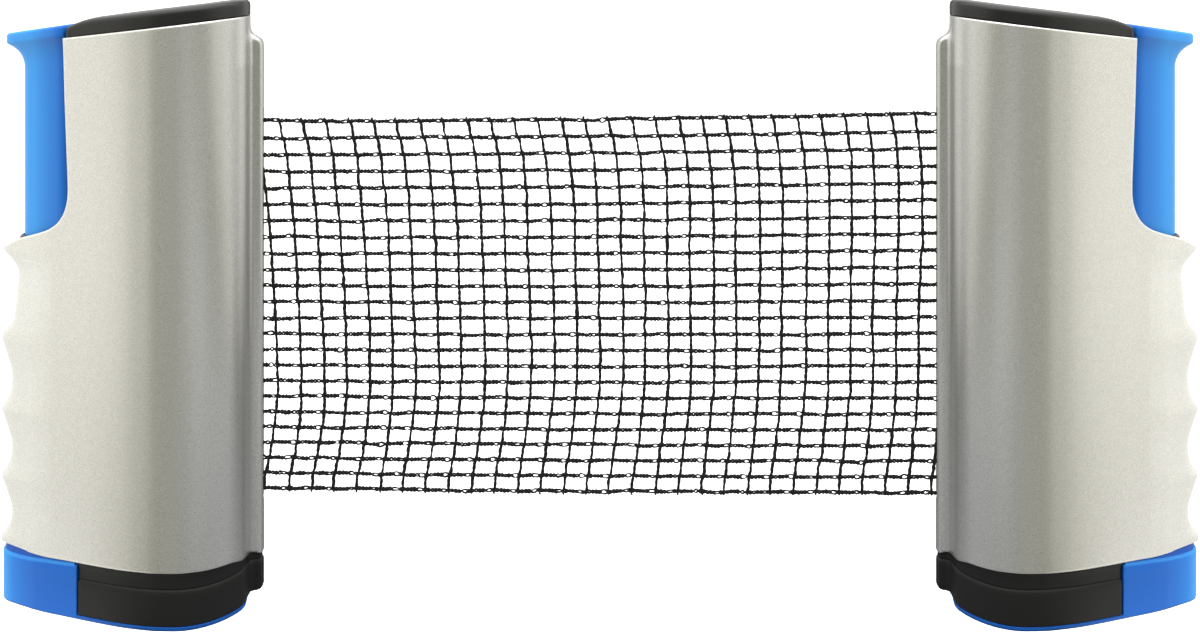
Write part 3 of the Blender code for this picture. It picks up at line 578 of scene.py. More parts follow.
# ---------------------------------------------------------------- shells
def build_shells():
    levels = list(np.arange(SHELL_BOTTOM + 0.8, 122.0, 0.8)) + list(np.arange(122.4, 190.0, 1.6))
    foot = lambda a: np.interp(a, [117.0, 120.6, 124.0, 128.0, 135.0, 180.0, 187.5, 194.3, 197.0, 203.7, 207.6], [-2.7, -1.9, 0.0, 0.35, 0.75, 0.7, 0.6, 0.95, 1.4, 1.9, 2.0])
    low = lambda h: (lambda a: h + foot(a) * max(0.0, 1 - (h - SHELL_BOTTOM) / 14.0))
    rings = [at_height(ring2(body_half(end_at(SHELL_BOTTOM), 1.0)), low(SHELL_BOTTOM))]
    # above 150 the levels tilt until they run parallel to the sloping top
    tilt = lambda h: (lambda a: h + min(1.0, max(0.0, (h - 150.0) / 40.0)) * TOP_SLOPE * (119.0 - a))
    for z in levels:
        rings.append(at_height(ring2(body_half(end_at(z), 1.0)), low(z) if z < 60 else tilt(z)))
    for z, lip in LIP_FADE:
        rings.append(at_height(ring2(body_half(RIDGE_END - 0.6, lip)), tilt(z)))
    rings.append(at_height(ring2(body_half(RIDGE_END - 0.6, 0.0)), lambda a: top(a)))
    rings = np.array(rings)
    mats = [SILVER, INSIDE]
    body = lofted(rings, "shell_body", mats)
    # smooth normals of the outer skin
    du = np.roll(rings, -1, axis=1) - np.roll(rings, 1, axis=1)
    dv = np.gradient(rings, axis=0)
    nrm = np.cross(du, dv)
    nrm /= np.linalg.norm(nrm, axis=2)[:, :, None] + 1e-12
    centre = np.array([150.0, 0.0])
    if ((rings[10, :, :2] - centre) * nrm[10, :, :2]).sum() < 0:
        nrm = -nrm
    pts, nr = rings.reshape(-1, 3) * MM, nrm.reshape(-1, 3)
    tree = kdtree.KDTree(len(pts))
    for i, p in enumerate(pts):
        tree.insert(p, i)
    tree.balance()
    # hollow parts
    plan0 = body_half(RIDGE_END, 0.0)
    cavity = clip(offset(plan0, 2.2), far=177.2)
    boolean(body, lofted([at_height(ring2(cavity), 5.0), at_height(ring2(cavity), 230.0)], "cut", mats, index=1))
    channel = offset(curve(COLUMN, 0.8), -0.4)
    boolean(body, lofted([at_height(ring2(channel), 5.0), at_height(ring2(channel), 140.0)], "cut", mats, index=1))
    jc = curve(J_CURVE, 0.5)
    outline = [(x, z) for x, z in jc] + [(216.0, 118.0), (216.0, 214.0)]
    boolean(body, prism_xz(outline, -45, 45, mats, index=0))
    seat = offset(curve(COLUMN, 0.8), -1.7)
    boolean(body, lofted([at_height(ring2(seat), 118.6), at_height(ring2(seat), 137.0)], "cut", mats, index=1))
    boolean(body, block((112, 126), (-0.72, 0.72), (34.5, 169.4), mats, index=0))
    halves = []
    for which, sign in (("front", -1), ("rear", 1)):
        half = bpy.data.objects.new(f"{which}_shell", body.data.copy())
        SCENE.collection.objects.link(half)
        y = (-SPLIT, 60) if sign < 0 else (-60, SPLIT)
        boolean(half, block((90, 230), y, (0, 240), mats, index=0))
        if sign > 0:
            for z in SCREW_Z:
                wall = turned([(0, 9.0), (3.0, 9.0), (3.0, 30.0), (0, 30.0)], "cut", [SILVER, INSIDE], (SCREW_A, 0, 0), 48)
                wall.data.transform(Matrix.Rotation(-math.pi / 2, 4, "X"))
                wall.data.transform(Matrix.Translation((0, 0, z * MM)))
                wall.location = (0, 0, 0)
                v = np.array([p.co for p in wall.data.vertices])
                boolean(half, wall)
        shade_skin(half, tree, nr)
        halves.append(half)
    bpy.data.objects.remove(body)
    return halves


def shade_skin(o, tree, nr):
    """Outer skin faces take the loft's own smooth normals; everything else stays sharp."""
    mesh = o.data
    mesh.polygons.foreach_set("use_smooth", [True] * len(mesh.polygons))
    cache = {}
    normals = [None] * len(mesh.loops)
    for p in mesh.polygons:
        fn = p.normal
        for li in p.loop_indices:
            vi = mesh.loops[li].vertex_index
            if vi not in cache:
                acc, wsum = Vector((0, 0, 0)), 0.0
                found = tree.find_n(mesh.vertices[vi].co, 4)
                for co, idx, dist in found:
                    w = 1.0 / (dist + 1e-6) ** 2
                    acc += Vector(nr[idx]) * w
                    wsum += w
                cache[vi] = (acc.normalized(), found[0][2])
            n, dist = cache[vi]
            normals[li] = n if dist < 1.7 * MM and n.dot(fn) > 0.72 else fn
    mesh.normals_split_custom_set([tuple(n) for n in normals])


# ---------------------------------------------------------------- other pieces, right-hand side
def build_cap():
    plan = body_half(RIDGE_END, 0.0)
    half = clip(offset(plan, 0.05), far=EDGE + 0.6, corner=2.4, steps=8)
    # the crown falls away towards the press handle
    lift = lambda h: (lambda a: top(a) + 0.3 + (h - 0.3) * (1 - 0.42 * np.clip((a - 169.0) / 11.6, 0, 1) ** 2))
    prof = [(0.5, 0.15), (0.0, 0.35), (0.0, 2.2), (0.0, 3.6), (0.10, 4.25), (0.34, 4.8), (0.78, 5.25), (1.4, 5.5), (2.4, 5.68), (4.2, 5.82), (6.4, 5.92), (9.0, 5.98), (12.0, 6.0)]
    rings = []
    centre = np.array([150.0, 0.0])
    for d, h in prof:
        if d <= 1.6:
            o2 = offset(half, d)
        else:
            o2 = offset(half, 1.6)
            span = np.maximum(1e-6, np.linalg.norm(o2 - centre, axis=1))
            o2 = centre + (o2 - centre) * (1 - (d - 1.6) / 16.5)
        rings.append(at_height(ring2(o2), lift(h)))
    o = lofted(rings, "top_cap", [BLACK])
    # spigot inside the shells
    cav = clip(offset(plan, 2.6), far=176.6)
    boolean(o, lofted([at_height(ring2(cav), lift(-4.0)), at_height(ring2(cav), lift(1.4))], "cut", [BLACK], index=0), "UNION")
    hol = clip(offset(plan, 4.4), far=174.8)
    boolean(o, lofted([at_height(ring2(hol), lift(-6.0)), at_height(ring2(hol), lift(0.9))], "cut", [BLACK], index=0))
    return auto_sharp(o, 32)


def build_base():
    plan = clip(body_half(RIDGE_END, 1.0), far=BLOCK - 0.1, corner=0.8)
    prof = [(0.62, 13.72), (0.62, 14.1), (0.62, 16.6), (0.58, 17.2), (0.42, 17.9), (0.36, 18.4), (0.36, 19.6)]
    o = lofted([at_height(ring2(offset(plan, d)), z) for d, z in prof], "base", [BASE])
    inner = clip(offset(body_half(RIDGE_END, 0.0), 4.2), far=171.5, corner=1.5)
    boolean(o, lofted([at_height(ring2(inner), 10.0), at_height(ring2(inner), 16.4)], "cut", [BASE], index=0))
    return auto_sharp(o, 32)


def oval_half(cx, rx, ry, n=36, p=0.8):
    return np.array([(cx + rx * math.cos(t), ry * abs(math.sin(t)) ** p) for t in np.linspace(0, math.pi, n + 1)])


def build_upper_pad():
    plan = clip(offset(body_half(RIDGE_END, 0.0), 4.5), far=171.2, corner=1.5)
    o = lofted([at_height(ring2(plan), 14.0), at_height(ring2(plan), 16.1)], "upper_pad", [RUBBER])
    panel = oval_half(145.0, 17.0, 9.5)
    rings = [at_height(ring2(offset(panel, d)), z) for d, z in ((1.1, 13.2), (0.5, 13.3), (0.12, 13.6), (0.0, 14.2), (0.0, 15.0))]
    boolean(o, lofted(rings, "cut", [RUBBER], index=0), "UNION")
    for i in range(-4, 5):
        a = 145.0 + i * 3.4
        w = 8.2 * math.sqrt(max(0.05, 1 - ((a - 145.0) / 17.2) ** 2))
        boolean(o, block((a - 0.45, a + 0.45), (-w, w), (12.0, 13.55), [RUBBER], index=0))
    return auto_sharp(o, 32)


def build_lower_pad():
    lip = clip(body_half(RIDGE_END - 0.1, 1.0), far=BLOCK - 0.25, corner=0.9)
    no_lip = clip(body_half(RIDGE_END - 0.1, 0.0), far=BLOCK - 0.25, corner=0.9)
    prof = [  # inset, share of the lip, height
        (0.35, 0.0, 1.7), (0.10, 0.0, 1.9), (0.10, 0.06, 2.25), (0.10, 0.25, 2.5), (0.10, 0.55, 2.75), (0.10, 0.80, 3.0), (0.10, 0.94, 3.35), (0.10, 1.0, 3.9),
        (0.10, 1.0, 8.2), (0.10, 1.0, 11.2), (0.12, 1.0, 12.3), (0.24, 1.0, 12.95), (0.46, 1.0, 13.4), (0.8, 1.0, 13.64), (1.3, 1.0, 13.7)]
    rings = [at_height(ring2(offset(no_lip + (lip - no_lip) * share, d)), z) for d, share, z in prof]
    o = lofted(rings, "lower_pad", [RUBBER])
    panel = oval_half(145.0, 18.2, 10.7)
    pocket = [at_height(ring2(offset(panel, d)), z) for d, z in ((0.6, 10.6), (0.15, 10.8), (0.0, 11.3), (0.0, 13.0), (-0.25, 13.5), (-0.9, 14.4))]
    boolean(o, lofted(pocket, "cut", [RUBBER], index=0))
    for i in range(-4, 5):
        a = 145.0 + i * 3.7
        w = 9.0 * math.sqrt(max(0.05, 1 - ((a - 145.0) / 18.4) ** 2))
        boolean(o, block((a - 0.6, a + 0.6), (-w, w), (10.0, 11.5), [RUBBER], index=0), "UNION")
    return auto_sharp(o, 32)


def build_lower_jaw():
    plan = body_half(RIDGE_END - 0.9, 0.0)
    prof = [(1.0, 0.0), (0.6, 0.05), (0.28, 0.2), (0.10, 0.45), (0.02, 0.8), (0.0, 1.1), (0.0, 1.6)]
    o = lofted([at_height(ring2(offset(plan, d)), z) for d, z in prof], "lower_jaw", [BLUE_JAW])
    full = clip(body_half(RIDGE_END - 0.85, 1.0), near=BLOCK - 0.05)

    # back block; its top edge dips a little towards the outer end
    edge = lambda a: np.interp(a, [175.6, 181.7, 187.5, 194.3, 199.0, 204.5, 206.5, 208.4], [17.9, 17.45, 17.25, 16.6, 16.3, 16.4, 17.0, 17.6])
    rings = [at_height(ring2(full), 0.9), at_height(ring2(full), 8.0), at_height(ring2(full), 14.0)]
    for d, h in ((0.0, 0.0), (0.12, 0.38), (0.36, 0.66), (0.62, 0.90)):
        rings.append(at_height(ring2(offset(full, d)), lambda a, h=h: edge(a) + h))
    rings += [at_height(ring2(offset(full, 0.75)), lambda a: np.maximum(18.95, edge(a) + 1.3)), at_height(ring2(offset(full, 0.8)), 20.6)]
    boolean(o, lofted(rings, "cut", [BLUE_JAW], index=0), "UNION")
    stem = clip(curve(COLUMN, 0.8), near=181.5)
    boolean(o, lofted([at_height(ring2(stem), 17.0), at_height(ring2(stem), 49.7)], "cut", [BLUE_JAW], index=0), "UNION")
    # height above the top edge, in metres, for the painted highlight along it and the painted shade under the post
    rise = o.data.attributes.new("rise", "FLOAT", "POINT")
    rise.data.foreach_set("value", [float(v.co.z - edge(v.co.x / MM) * MM) for v in o.data.vertices])
    return auto_sharp(o, 30)


def build_handle():
    col, fla = same_count(COLUMN, FLANGE, 0.55)
    crown = lambda h: (lambda a: 195.7 + 0.143 * (206.2 - a) + h)
    prof = [(0.0, None, 50.0), (0.0, None, 120.0)]
    rings = [at_height(ring2(col), 50.0), at_height(ring2(col), 90.0), at_height(ring2(col), 150.0), at_height(ring2(col), 176.0)]
    for share, h in ((0.0, -13.0), (0.012, -11.7), (0.05, -10.4), (0.12, -9.1), (0.22, -7.85), (0.35, -6.7), (0.50, -5.7), (0.66, -4.9), (0.82, -4.2), (0.93, -3.75), (0.985, -3.35), (1.0, -2.9), (1.0, -1.0)):
        rings.append(at_height(ring2(col + (fla - col) * share), crown(h)))
    for d, h in ((0.06, -0.62), (0.25, -0.28), (0.55, -0.07), (1.0, 0.0)):
        rings.append(at_height(ring2(offset(fla, d)), crown(h)))
    centre = np.array([191.0, 0.0])
    last = offset(fla, 1.0)
    for k, h in ((0.75, 0.05), (0.45, 0.08)):
        rings.append(at_height(ring2(centre + (last - centre) * k), crown(h)))
    o = lofted(rings, "press_handle", [BLUE_HANDLE])
    return auto_sharp(o, 38)


def build_collar():
    outer, inner = offset(curve(COLUMN, 0.6), -1.45), offset(curve(COLUMN, 0.6), -0.3)
    rim = lambda a: np.interp(a, [180.0, 184.0, 190.0, 195.0, 199.0, 202.0], [128.0, 127.4, 126.9, 126.7, 126.3, 125.9])
    rings = [at_height(ring2(outer), 119.0), at_height(ring2(outer), lambda a: rim(a) - 0.4), at_height(ring2(offset(curve(COLUMN, 0.6), -1.1)), rim)]
    o = lofted(rings, "guide_collar", [BLACK])
    boolean(o, lofted([at_height(ring2(inner), 110.0), at_height(ring2(inner), 140.0)], "cut", [BLACK], index=0))
    boolean(o, block((170, 181.6), (-20, 20), (100, 150), [BLACK], index=0))
    return auto_sharp(o, 32)


def build_screw(z, name, head=2.5):
    prof = [(0.0, 0.0), (1.25, 0.0), (1.25, 12.0), (head, 12.0), (head, 12.7), (head * 0.97, 13.1), (head * 0.86, 13.55), (head * 0.6, 13.95), (head * 0.3, 14.12), (0.0, 14.17)]
    o = turned([(r, h) for r, h in prof], name, STEEL, (0, 0, 0), 48)
    for r in (0.0, math.pi / 2):
        c = block((-1.45, 1.45), (-0.32, 0.32), (12.9, 16.0), [STEEL], index=0)
        c.data.transform(Matrix.Rotation(r, 4, "Z"))
        boolean(o, c)
    o.data.transform(Matrix.Rotation(-math.pi / 2, 4, "X"))
    o.data.transform(Matrix.Translation((SCREW_A * MM, 0, z * MM)))
    return auto_sharp(o, 35)


def narrow_rear(o):
    """Draws the rear flank of the drum in a little beside the net."""
    for v in o.data.vertices:
        a, y = v.co.x / MM, v.co.y / MM
        if y > 0.8 and a < DRUM:
            t = min(1.0, (y - 0.8) / 6.5)
            v.co.x = (DRUM - (DRUM - a) * (1 - 0.18 * t * t * (3 - 2 * t))) * MM


def place(o, side, name, body, node_name):
    """Copy of a right-hand piece on its side, standing for its CAD node."""
    mesh = o.data.copy()
    if side < 0:
        custom = None
        if mesh.has_custom_normals:
            custom = [tuple(c.vector) for c in mesh.corner_normals]
            order = []
            for p in mesh.polygons:
                order.append(list(p.loop_indices))
        mesh.transform(Matrix.Scale(-1, 4, (1, 0, 0)))
        mesh.flip_normals()
        if custom is not None:
            new = [None] * len(mesh.loops)
            for p, old in zip(mesh.polygons, order):
                # flip_normals keeps the first corner and reverses the rest
                rev = [old[0]] + old[1:][::-1]
                for li, src in zip(p.loop_indices, rev):
                    n = custom[src]
                    new[li] = (-n[0], n[1], n[2])
            mesh.normals_split_custom_set(new)
    c = bpy.data.objects.new(name, mesh)
    SCENE.collection.objects.link(c)
    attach(c, body)
    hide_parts(node_name)
    return c


front, rear = build_shells()
pieces = [
    (front, "front_shell", "post", "silver_shell"), (rear, "rear_shell", "post", "silver_shell"), (build_cap(), "top_cap", "post", "black_plastic"),
    (build_base(), "base", "post", "black_plastic"), (build_upper_pad(), "upper_pad", "post", "black_rubber"), (build_lower_pad(), "lower_pad", "jaw", "black_rubber"),
    (build_lower_jaw(), "lower_jaw", "jaw", "blue_plastic"), (build_handle(), "press_handle", "jaw", "blue_plastic"), (build_collar(), "guide_collar", "post", "black_plastic"),
]
for i, z in enumerate(SCREW_Z):
    pieces.append((build_screw(z, f"screw_{i}"), f"shell_screw_{i + 1}", "post", "steel"))
for o, name, body, slot_name in pieces:
    narrow_rear(o)
    for side, tag in ((-1, "left"), (1, "right")):
        place(o, side, f"{tag}_{name}_look", f"{tag}_{body}", f"{tag}_{name}")
    bpy.data.objects.remove(o)


# ---------------------------------------------------------------- net
def tube(path, radius, sides=5, verts=None, faces=None, close=True):
    """Adds the rings of a thread along a path (points in mm) to the list verts; the list faces is not used."""
    p = np.array(path, float)
    r = np.full(len(p), radius) if np.isscalar(radius) else np.array(radius)
    t = np.gradient(p, axis=0)
    t /= np.linalg.norm(t, axis=1)[:, None] + 1e-9
    ref = np.array([0.0, 1.0, 0.0])
    a = np.cross(t, ref)
    a /= np.linalg.norm(a, axis=1)[:, None] + 1e-9
    b = np.cross(t, a)
    start = len(verts)
    for k in range(sides):
        ang = 2 * math.pi * k / sides
        verts.append(p + (a * math.cos(ang) + b * math.sin(ang)) * r[:, None])
    return start


class Threads:
    def __init__(self):
        self.v, self.f, self.n = [], [], 0

    def add(self, path, radius, sides=5):
        p = np.array(path, float)
        r = np.full(len(p), float(radius)) if np.isscalar(radius) else np.array(radius, float)
        t = np.gradient(p, axis=0)
        t /= np.linalg.norm(t, axis=1)[:, None] + 1e-9
        ref = np.array([0.0, 1.0, 0.0])
        a = np.cross(t, ref)
        a /= np.linalg.norm(a, axis=1)[:, None] + 1e-9
        b = np.cross(t, a)
        m = len(p)
        angs = 2 * math.pi * np.arange(sides) / sides
        ring = p[:, None, :] + (a[:, None, :] * np.cos(angs)[None, :, None] + b[:, None, :] * np.sin(angs)[None, :, None]) * r[:, None, None]
        base = self.n
        self.v.append(ring.reshape(-1, 3))
        i = np.arange(m - 1)[:, None] * sides
        j = np.arange(sides)[None, :]
        k = (np.arange(sides)[None, :] + 1) % sides
        q = np.stack([i + j, i + k, i + k + sides, i + j + sides], axis=-1).reshape(-1, 4) + base
        self.f += [tuple(int(x) for x in row) for row in q]
        self.f.append(tuple(base + s for s in range(sides))[::-1])
        self.f.append(tuple(base + (m - 1) * sides + s for s in range(sides)))
        self.n += m * sides

    def mesh(self, name):
        v = np.vstack(self.v)
        v[:, 1] = 0.62 * np.tanh(v[:, 1] / 0.62)      # flat enough for the slots in the drums
        v[:, 2] = np.maximum(v[:, 2], 34.75)               # and clear of their lower ends
        v = v * MM
        return obj_from(v, self.f, name, THREAD)


ROWS, PITCH, FIRST = 24, 8.20, -112.0
SHIFT_T = [0, .087, .174, .26, .348, .435, .52, .61, .696, .74, .78, .826, .87, .91, .957, 1]
SHIFT = np.array([[0, 28, 40, 55, 65, 70, 77, 83, 87, 87, 85, 77, 70, 60, 43, 38],
                  [0, 30, 43, 48, 48, 53, 55, 57, 57, 52, 47, 37, 30, 20, 10, 3],
                  [0, 20, 28, 30, 25, 20, 15, 14, 15, 12, 10, 0, -5, -10, -22, -25]]) / 10.82


def row_share(i):
    s = i / (ROWS - 1)
    return s * (1 + 0.0575 * (1 - s))


def net_z(t, x):
    """Height of the net at a share t down from its upper edge."""
    u = (x + 117.0) / 234.0
    hi = 165.1 + 2.5 * u - 1.3 * np.sin(np.pi * np.clip(u, 0, 1)) * 0.5
    lo = 37.5 - 1.7 * u - 0.35 * np.sin(np.pi * np.clip(u, 0, 1))
    return hi + (lo - hi) * t


def slant(t, x):
    u = min(1.0, max(0.0, (x + 117.0) / 234.0))
    s = [np.interp(t, SHIFT_T, row) for row in SHIFT]
    return s[0] * (1 - u * 2) + s[1] * u * 2 if u < 0.5 else s[1] * (2 - u * 2) + s[2] * (u * 2 - 1)


rng = np.random.default_rng(11)
COLS = list(range(-2, 30))
cross = np.zeros((len(COLS), ROWS))
for ci, c in enumerate(COLS):
    x0 = FIRST + PITCH * c + rng.normal(0, 0.12)
    drift = 0.0
    for i in range(ROWS):
        drift = 0.7 * drift + rng.normal(0, 0.10)
        cross[ci, i] = x0 + slant(row_share(i), x0) + drift
LEFT_END, RIGHT_END = -120.5, 120.5
net_body, net_top, net_low = Threads(), Threads(), Threads()
for i in range(ROWS):
    heavy = 1.0 if i not in (0, ROWS - 1) else 1.06
    target = net_top if i == 0 else net_low if i == ROWS - 1 else net_body
    step = 0.26
    x = np.arange(LEFT_END, RIGHT_END + step, step)
    wob = 0.16 * np.interp(x, np.linspace(LEFT_END, RIGHT_END, 40), rng.normal(0, 1, 40)) + 0.07 * np.interp(x, np.linspace(LEFT_END, RIGHT_END, 150), rng.normal(0, 1, 150))
    zc = net_z(row_share(i), x) + wob
    # the stitch opens into a small eye beside each crossing
    eye = np.zeros_like(x)
    for ci in range(len(COLS)):
        xc = cross[ci, i] - 1.85 + rng.normal(0, 0.28)
        eye = np.maximum(eye, np.exp(-0.5 * ((x - xc) / 0.70) ** 2) * rng.uniform(0.65, 1.15))
        xc2 = cross[ci, i] + 1.9 + rng.normal(0, 0.3)
        eye = np.maximum(eye, np.exp(-0.5 * ((x - xc2) / 0.35) ** 2) * rng.uniform(0.1, 0.45))
    rate = 2 * math.pi / 2.3 * (1 - 0.75 * eye)
    phase = np.cumsum(rate) * step + rng.uniform(0, 6.28)
    # turn the eyes to face the viewer
    amp = (0.37 + 0.20 * eye) * (1 + 0.16 * np.interp(x, np.linspace(LEFT_END, RIGHT_END, 170), rng.normal(0, 1, 170)))
    for s in range(2):
        ph = phase + math.pi * s
        zz = np.sin(ph) * amp
        yy = np.cos(ph) * amp * (1 - 0.5 * eye)
        zz = np.where(eye > 0.35, np.sign(np.sin(math.pi * s + 0.5)) * amp * 0.95 * np.clip((eye - 0.35) * 4, 0, 1) + zz * (1 - np.clip((eye - 0.35) * 4, 0, 1)), zz)
        rad = (0.43 - 0.16 * eye) * heavy * (1 + 0.15 * np.interp(x, np.linspace(LEFT_END, RIGHT_END, 260), rng.normal(0, 1, 260)))
        target.add(np.column_stack([x, yy, zc + zz]), rad, 5)
for ci, c in enumerate(COLS):
    pts = []
    for i in range(ROWS):
        pts.append((cross[ci, i], 0.0, float(net_z(row_share(i), cross[ci, i]))))
    pts = np.array(pts)
    dense = []
    for i in range(ROWS - 1):
        a, b = pts[i], pts[i + 1]
        bow = rng.normal(0, 0.14)
        for j in range(14):
            t = j / 14
            s = t + 0.10 * math.sin(2 * math.pi * t)
            dense.append([a[0] + (b[0] - a[0]) * s + bow * math.sin(math.pi * t), 0.0, a[2] + (b[2] - a[2]) * t])
    dense.append(list(pts[-1]))
    d = np.array(dense)
    keep = (d[:, 0] > LEFT_END + 3.0) & (d[:, 0] < RIGHT_END - 3.0)
    if keep.sum() < 8:
        continue
    runs = np.flatnonzero(np.diff(np.concatenate([[0], keep.astype(int), [0]])))
    for r0, r1 in zip(runs[::2], runs[1::2]):
        q = d[r0:r1]
        if len(q) < 6:
            continue
        n = len(q)
        part = np.interp(np.arange(n), np.arange(0, n, 7), rng.uniform(0.4, 1.35, len(np.arange(0, n, 7))))
        ph = np.arange(n) * 0.62 + rng.uniform(0, 6)
        for s in range(2):
            off = np.column_stack([np.sin(ph + math.pi * s) * 0.15 * part, np.cos(ph + math.pi * s) * 0.12, 0 * ph])
            rad = 0.47 * (1 + 0.22 * np.interp(np.arange(n), np.arange(0, n, 5), rng.normal(0, 1, len(np.arange(0, n, 5)))))
            net_body.add(q + off, rad, 5)
    # knots where the ladder thread wraps the edge stitches, and the cut stubs under the lowest one
    if LEFT_END + 4 < cross[ci, 0] < RIGHT_END - 4:
        x0, z0 = cross[ci, 0] - 0.35, float(net_z(0, cross[ci, 0]))
        net_top.add([(x0 - 0.1, 0.0, z0 - 0.2), (x0 - 0.15, 0.05, z0 + 0.35), (x0 + 0.05, 0.0, z0 + 0.95), (x0 + 0.2, 0.0, z0 + 1.2)], [0.34, 0.42, 0.38, 0.2], 6)
    if LEFT_END + 4 < cross[ci, -1] < RIGHT_END - 4:
        x0, z0 = cross[ci, -1], float(net_z(1.0, cross[ci, -1]))
        net_low.add([(x0 + 0.05, 0.0, z0 + 0.3), (x0, 0.05, z0 - 0.4), (x0 + rng.normal(0, 0.12), 0.0, z0 - 0.95), (x0 + rng.normal(0.1, 0.12), 0.0, z0 - 1.35)], [0.26, 0.34, 0.40, 0.22], 6)
# a few loose loops of thread
for _ in range(9):
    ci, i = int(rng.integers(3, len(COLS) - 4)), int(rng.integers(1, ROWS - 2))
    x0, z0 = cross[ci, i] - rng.uniform(0.5, 2.5), float(net_z(row_share(i), cross[ci, i]))
    up = 1 if rng.random() < 0.8 else -1
    rr = rng.uniform(0.7, 1.2)
    net_body.add([(x0 + rr * math.cos(t) * 1.15, 0.25, z0 + up * (0.1 + rr * math.sin(t))) for t in np.linspace(-0.35, math.pi + 0.3, 14)], 0.07, 4)

for threads, name, node_name in ((net_body, "net_mesh_look", "net_mesh"), (net_top, "net_top_cord_look", "net_top_cord"), (net_low, "net_bottom_cord_look", "net_bottom_cord")):
    o = threads.mesh(name)
    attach(o, "left_post")
    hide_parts(node_name)
    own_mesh(o)
    o.visible_glossy = False

# ---------------------------------------------------------------- clamp springs
SPRING_LOW, SPRING_HIGH = 73.3, 149.7      # closed jaw; the jaw's full travel shortens the spring by 45 mm


def clamp_spring(side, tag):
    """Round wire wound about a vertical axis with a nearly flat turn at each end."""
    r, wire, turns, steps = 4.3, 0.55, 11, 28
    low, high = SPRING_LOW + 0.6, SPRING_HIGH - 0.6
    flat = 0.03 * (high - low)
    rise = np.interp(np.linspace(0, turns, turns * steps + 1), [0, 0.5, 1.5, turns - 1.5, turns - 0.5, turns], [0, flat * 0.3, flat * 1.6, (high - low) - flat * 1.6, (high - low) - flat * 0.3, high - low])
    a = np.linspace(0, 2 * math.pi * turns, turns * steps + 1)
    sides, verts, faces = 8, [], []
    for angle, z in zip(a, low + rise):
        for k in range(sides):
            b = 2 * math.pi * k / sides
            q = r + wire * math.cos(b)
            verts.append(((side * 188.6 + q * math.cos(angle)) * MM, q * math.sin(angle) * MM, (z + wire * math.sin(b)) * MM))
    for i in range(len(a) - 1):
        for k in range(sides):
            n = (k + 1) % sides
            faces.append((i * sides + k, (i + 1) * sides + k, (i + 1) * sides + n, i * sides + n))
    faces.append(tuple(range(sides)))
    faces.append(tuple((len(a) - 1) * sides + k for k in range(sides))[::-1])
    o = obj_from(verts, faces, f"{tag}_clamp_spring_look", STEEL)
    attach(o, f"{tag}_post")
    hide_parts(f"{tag}_clamp_spring")
    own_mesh(o)


clamp_spring(-1, "left")
clamp_spring(1, "right")

# ---------------------------------------------------------------- inner CAD parts keep their shape and get a finish
FINISH = {"silver_shell": SILVER, "black_plastic": BLACK, "black_rubber": RUBBER, "blue_plastic": BLUE, "steel": STEEL, "natural_plastic": NATURAL, "net_cord": THREAD}
slots = {s["node"]: s["material_slot"] for s in frame["record"]["subparts"]}
for name, o in frame["nodes"].items():
    o.data.materials.clear()
    o.data.materials.append(FINISH[slots[name]])

# ---------------------------------------------------------------- stage
# Brightness of the surroundings against the angle from straight ahead of a post: inner side, front, outer side, back.
STUDIO = [(-180, (0.50, 0.50, 0.50)), (-150, (0.20, 0.20, 0.20)), (-122, (0.21, 0.213, 0.22)), (-104, (0.32, 0.323, 0.335)), (-90, (0.41, 0.414, 0.43)), (-68, (0.45, 0.454, 0.47)), (-44, (0.57, 0.575, 0.595)), (-28, (0.68, 0.69, 0.69)),
          (-12, (0.60, 0.61, 0.59)), (2, (0.43, 0.432, 0.40)), (28, (0.275, 0.275, 0.225)), (37, (0.40, 0.395, 0.315)), (47, (1.01, 0.99, 0.875)), (55, (1.23, 1.205, 1.095)), (66, (1.32, 1.30, 1.20)), (90, (1.40, 1.385, 1.30)),
          (120, (1.42, 1.40, 1.34)), (150, (1.1, 1.09, 1.05)), (180, (0.50, 0.50, 0.50))]


def studio_ramp(t, x, y, centre):
    """Colour of the surroundings in the direction of a place seen from the nearer post."""
    out = maths(t, "SUBTRACT", maths(t, "ABSOLUTE", x), centre)
    angle = maths(t, "ARCTAN2", out, maths(t, "SUBTRACT", -0.010 if centre else 0.0, y))
    pos = maths(t, "ADD", maths(t, "DIVIDE", angle, 2 * math.pi), 0.5)
    r = t.nodes.new("ShaderNodeValToRGB")
    r.color_ramp.interpolation = "EASE"
    e = r.color_ramp.elements
    while len(e) < len(STUDIO):
        e.new(0.5)
    for el, (deg, c) in zip(e, STUDIO):
        el.position = deg / 360.0 + 0.5
        el.color = (*c, 1.0)
    t.links.new(pos, r.inputs[0])
    if centre == 0.0:
        return r.outputs[0]
    # close to the posts the floor is dimmer, most of all between them
    reach = maths(t, "SQRT", maths(t, "ADD", maths(t, "MULTIPLY", out, out), maths(t, "MULTIPLY", y, y)))
    close = remap(t, reach, 0.05, 0.40, 1.0, 0.0)
    inner = maths(t, "MULTIPLY", remap(t, angle, -0.15, 0.32, 1.0, 0.0), remap(t, angle, -1.2, -0.7, 0.42, 1.0))
    outer = maths(t, "MULTIPLY", remap(t, angle, 0.65, 0.85, 0.0, 1.0), remap(t, angle, 1.0, 1.2, 1.0, 0.5))
    share = maths(t, "ADD", maths(t, "MULTIPLY", inner, 0.50), maths(t, "MULTIPLY", outer, 0.42))
    loss = maths(t, "MULTIPLY", close, maths(t, "ADD", share, -0.03))
    keep = maths(t, "SUBTRACT", 1.0, loss)
    dim = t.nodes.new("ShaderNodeVectorMath")
    dim.operation = "SCALE"
    t.links.new(r.outputs[0], dim.inputs[0])
    t.links.new(keep, dim.inputs["Scale"])
    return dim.outputs[0]


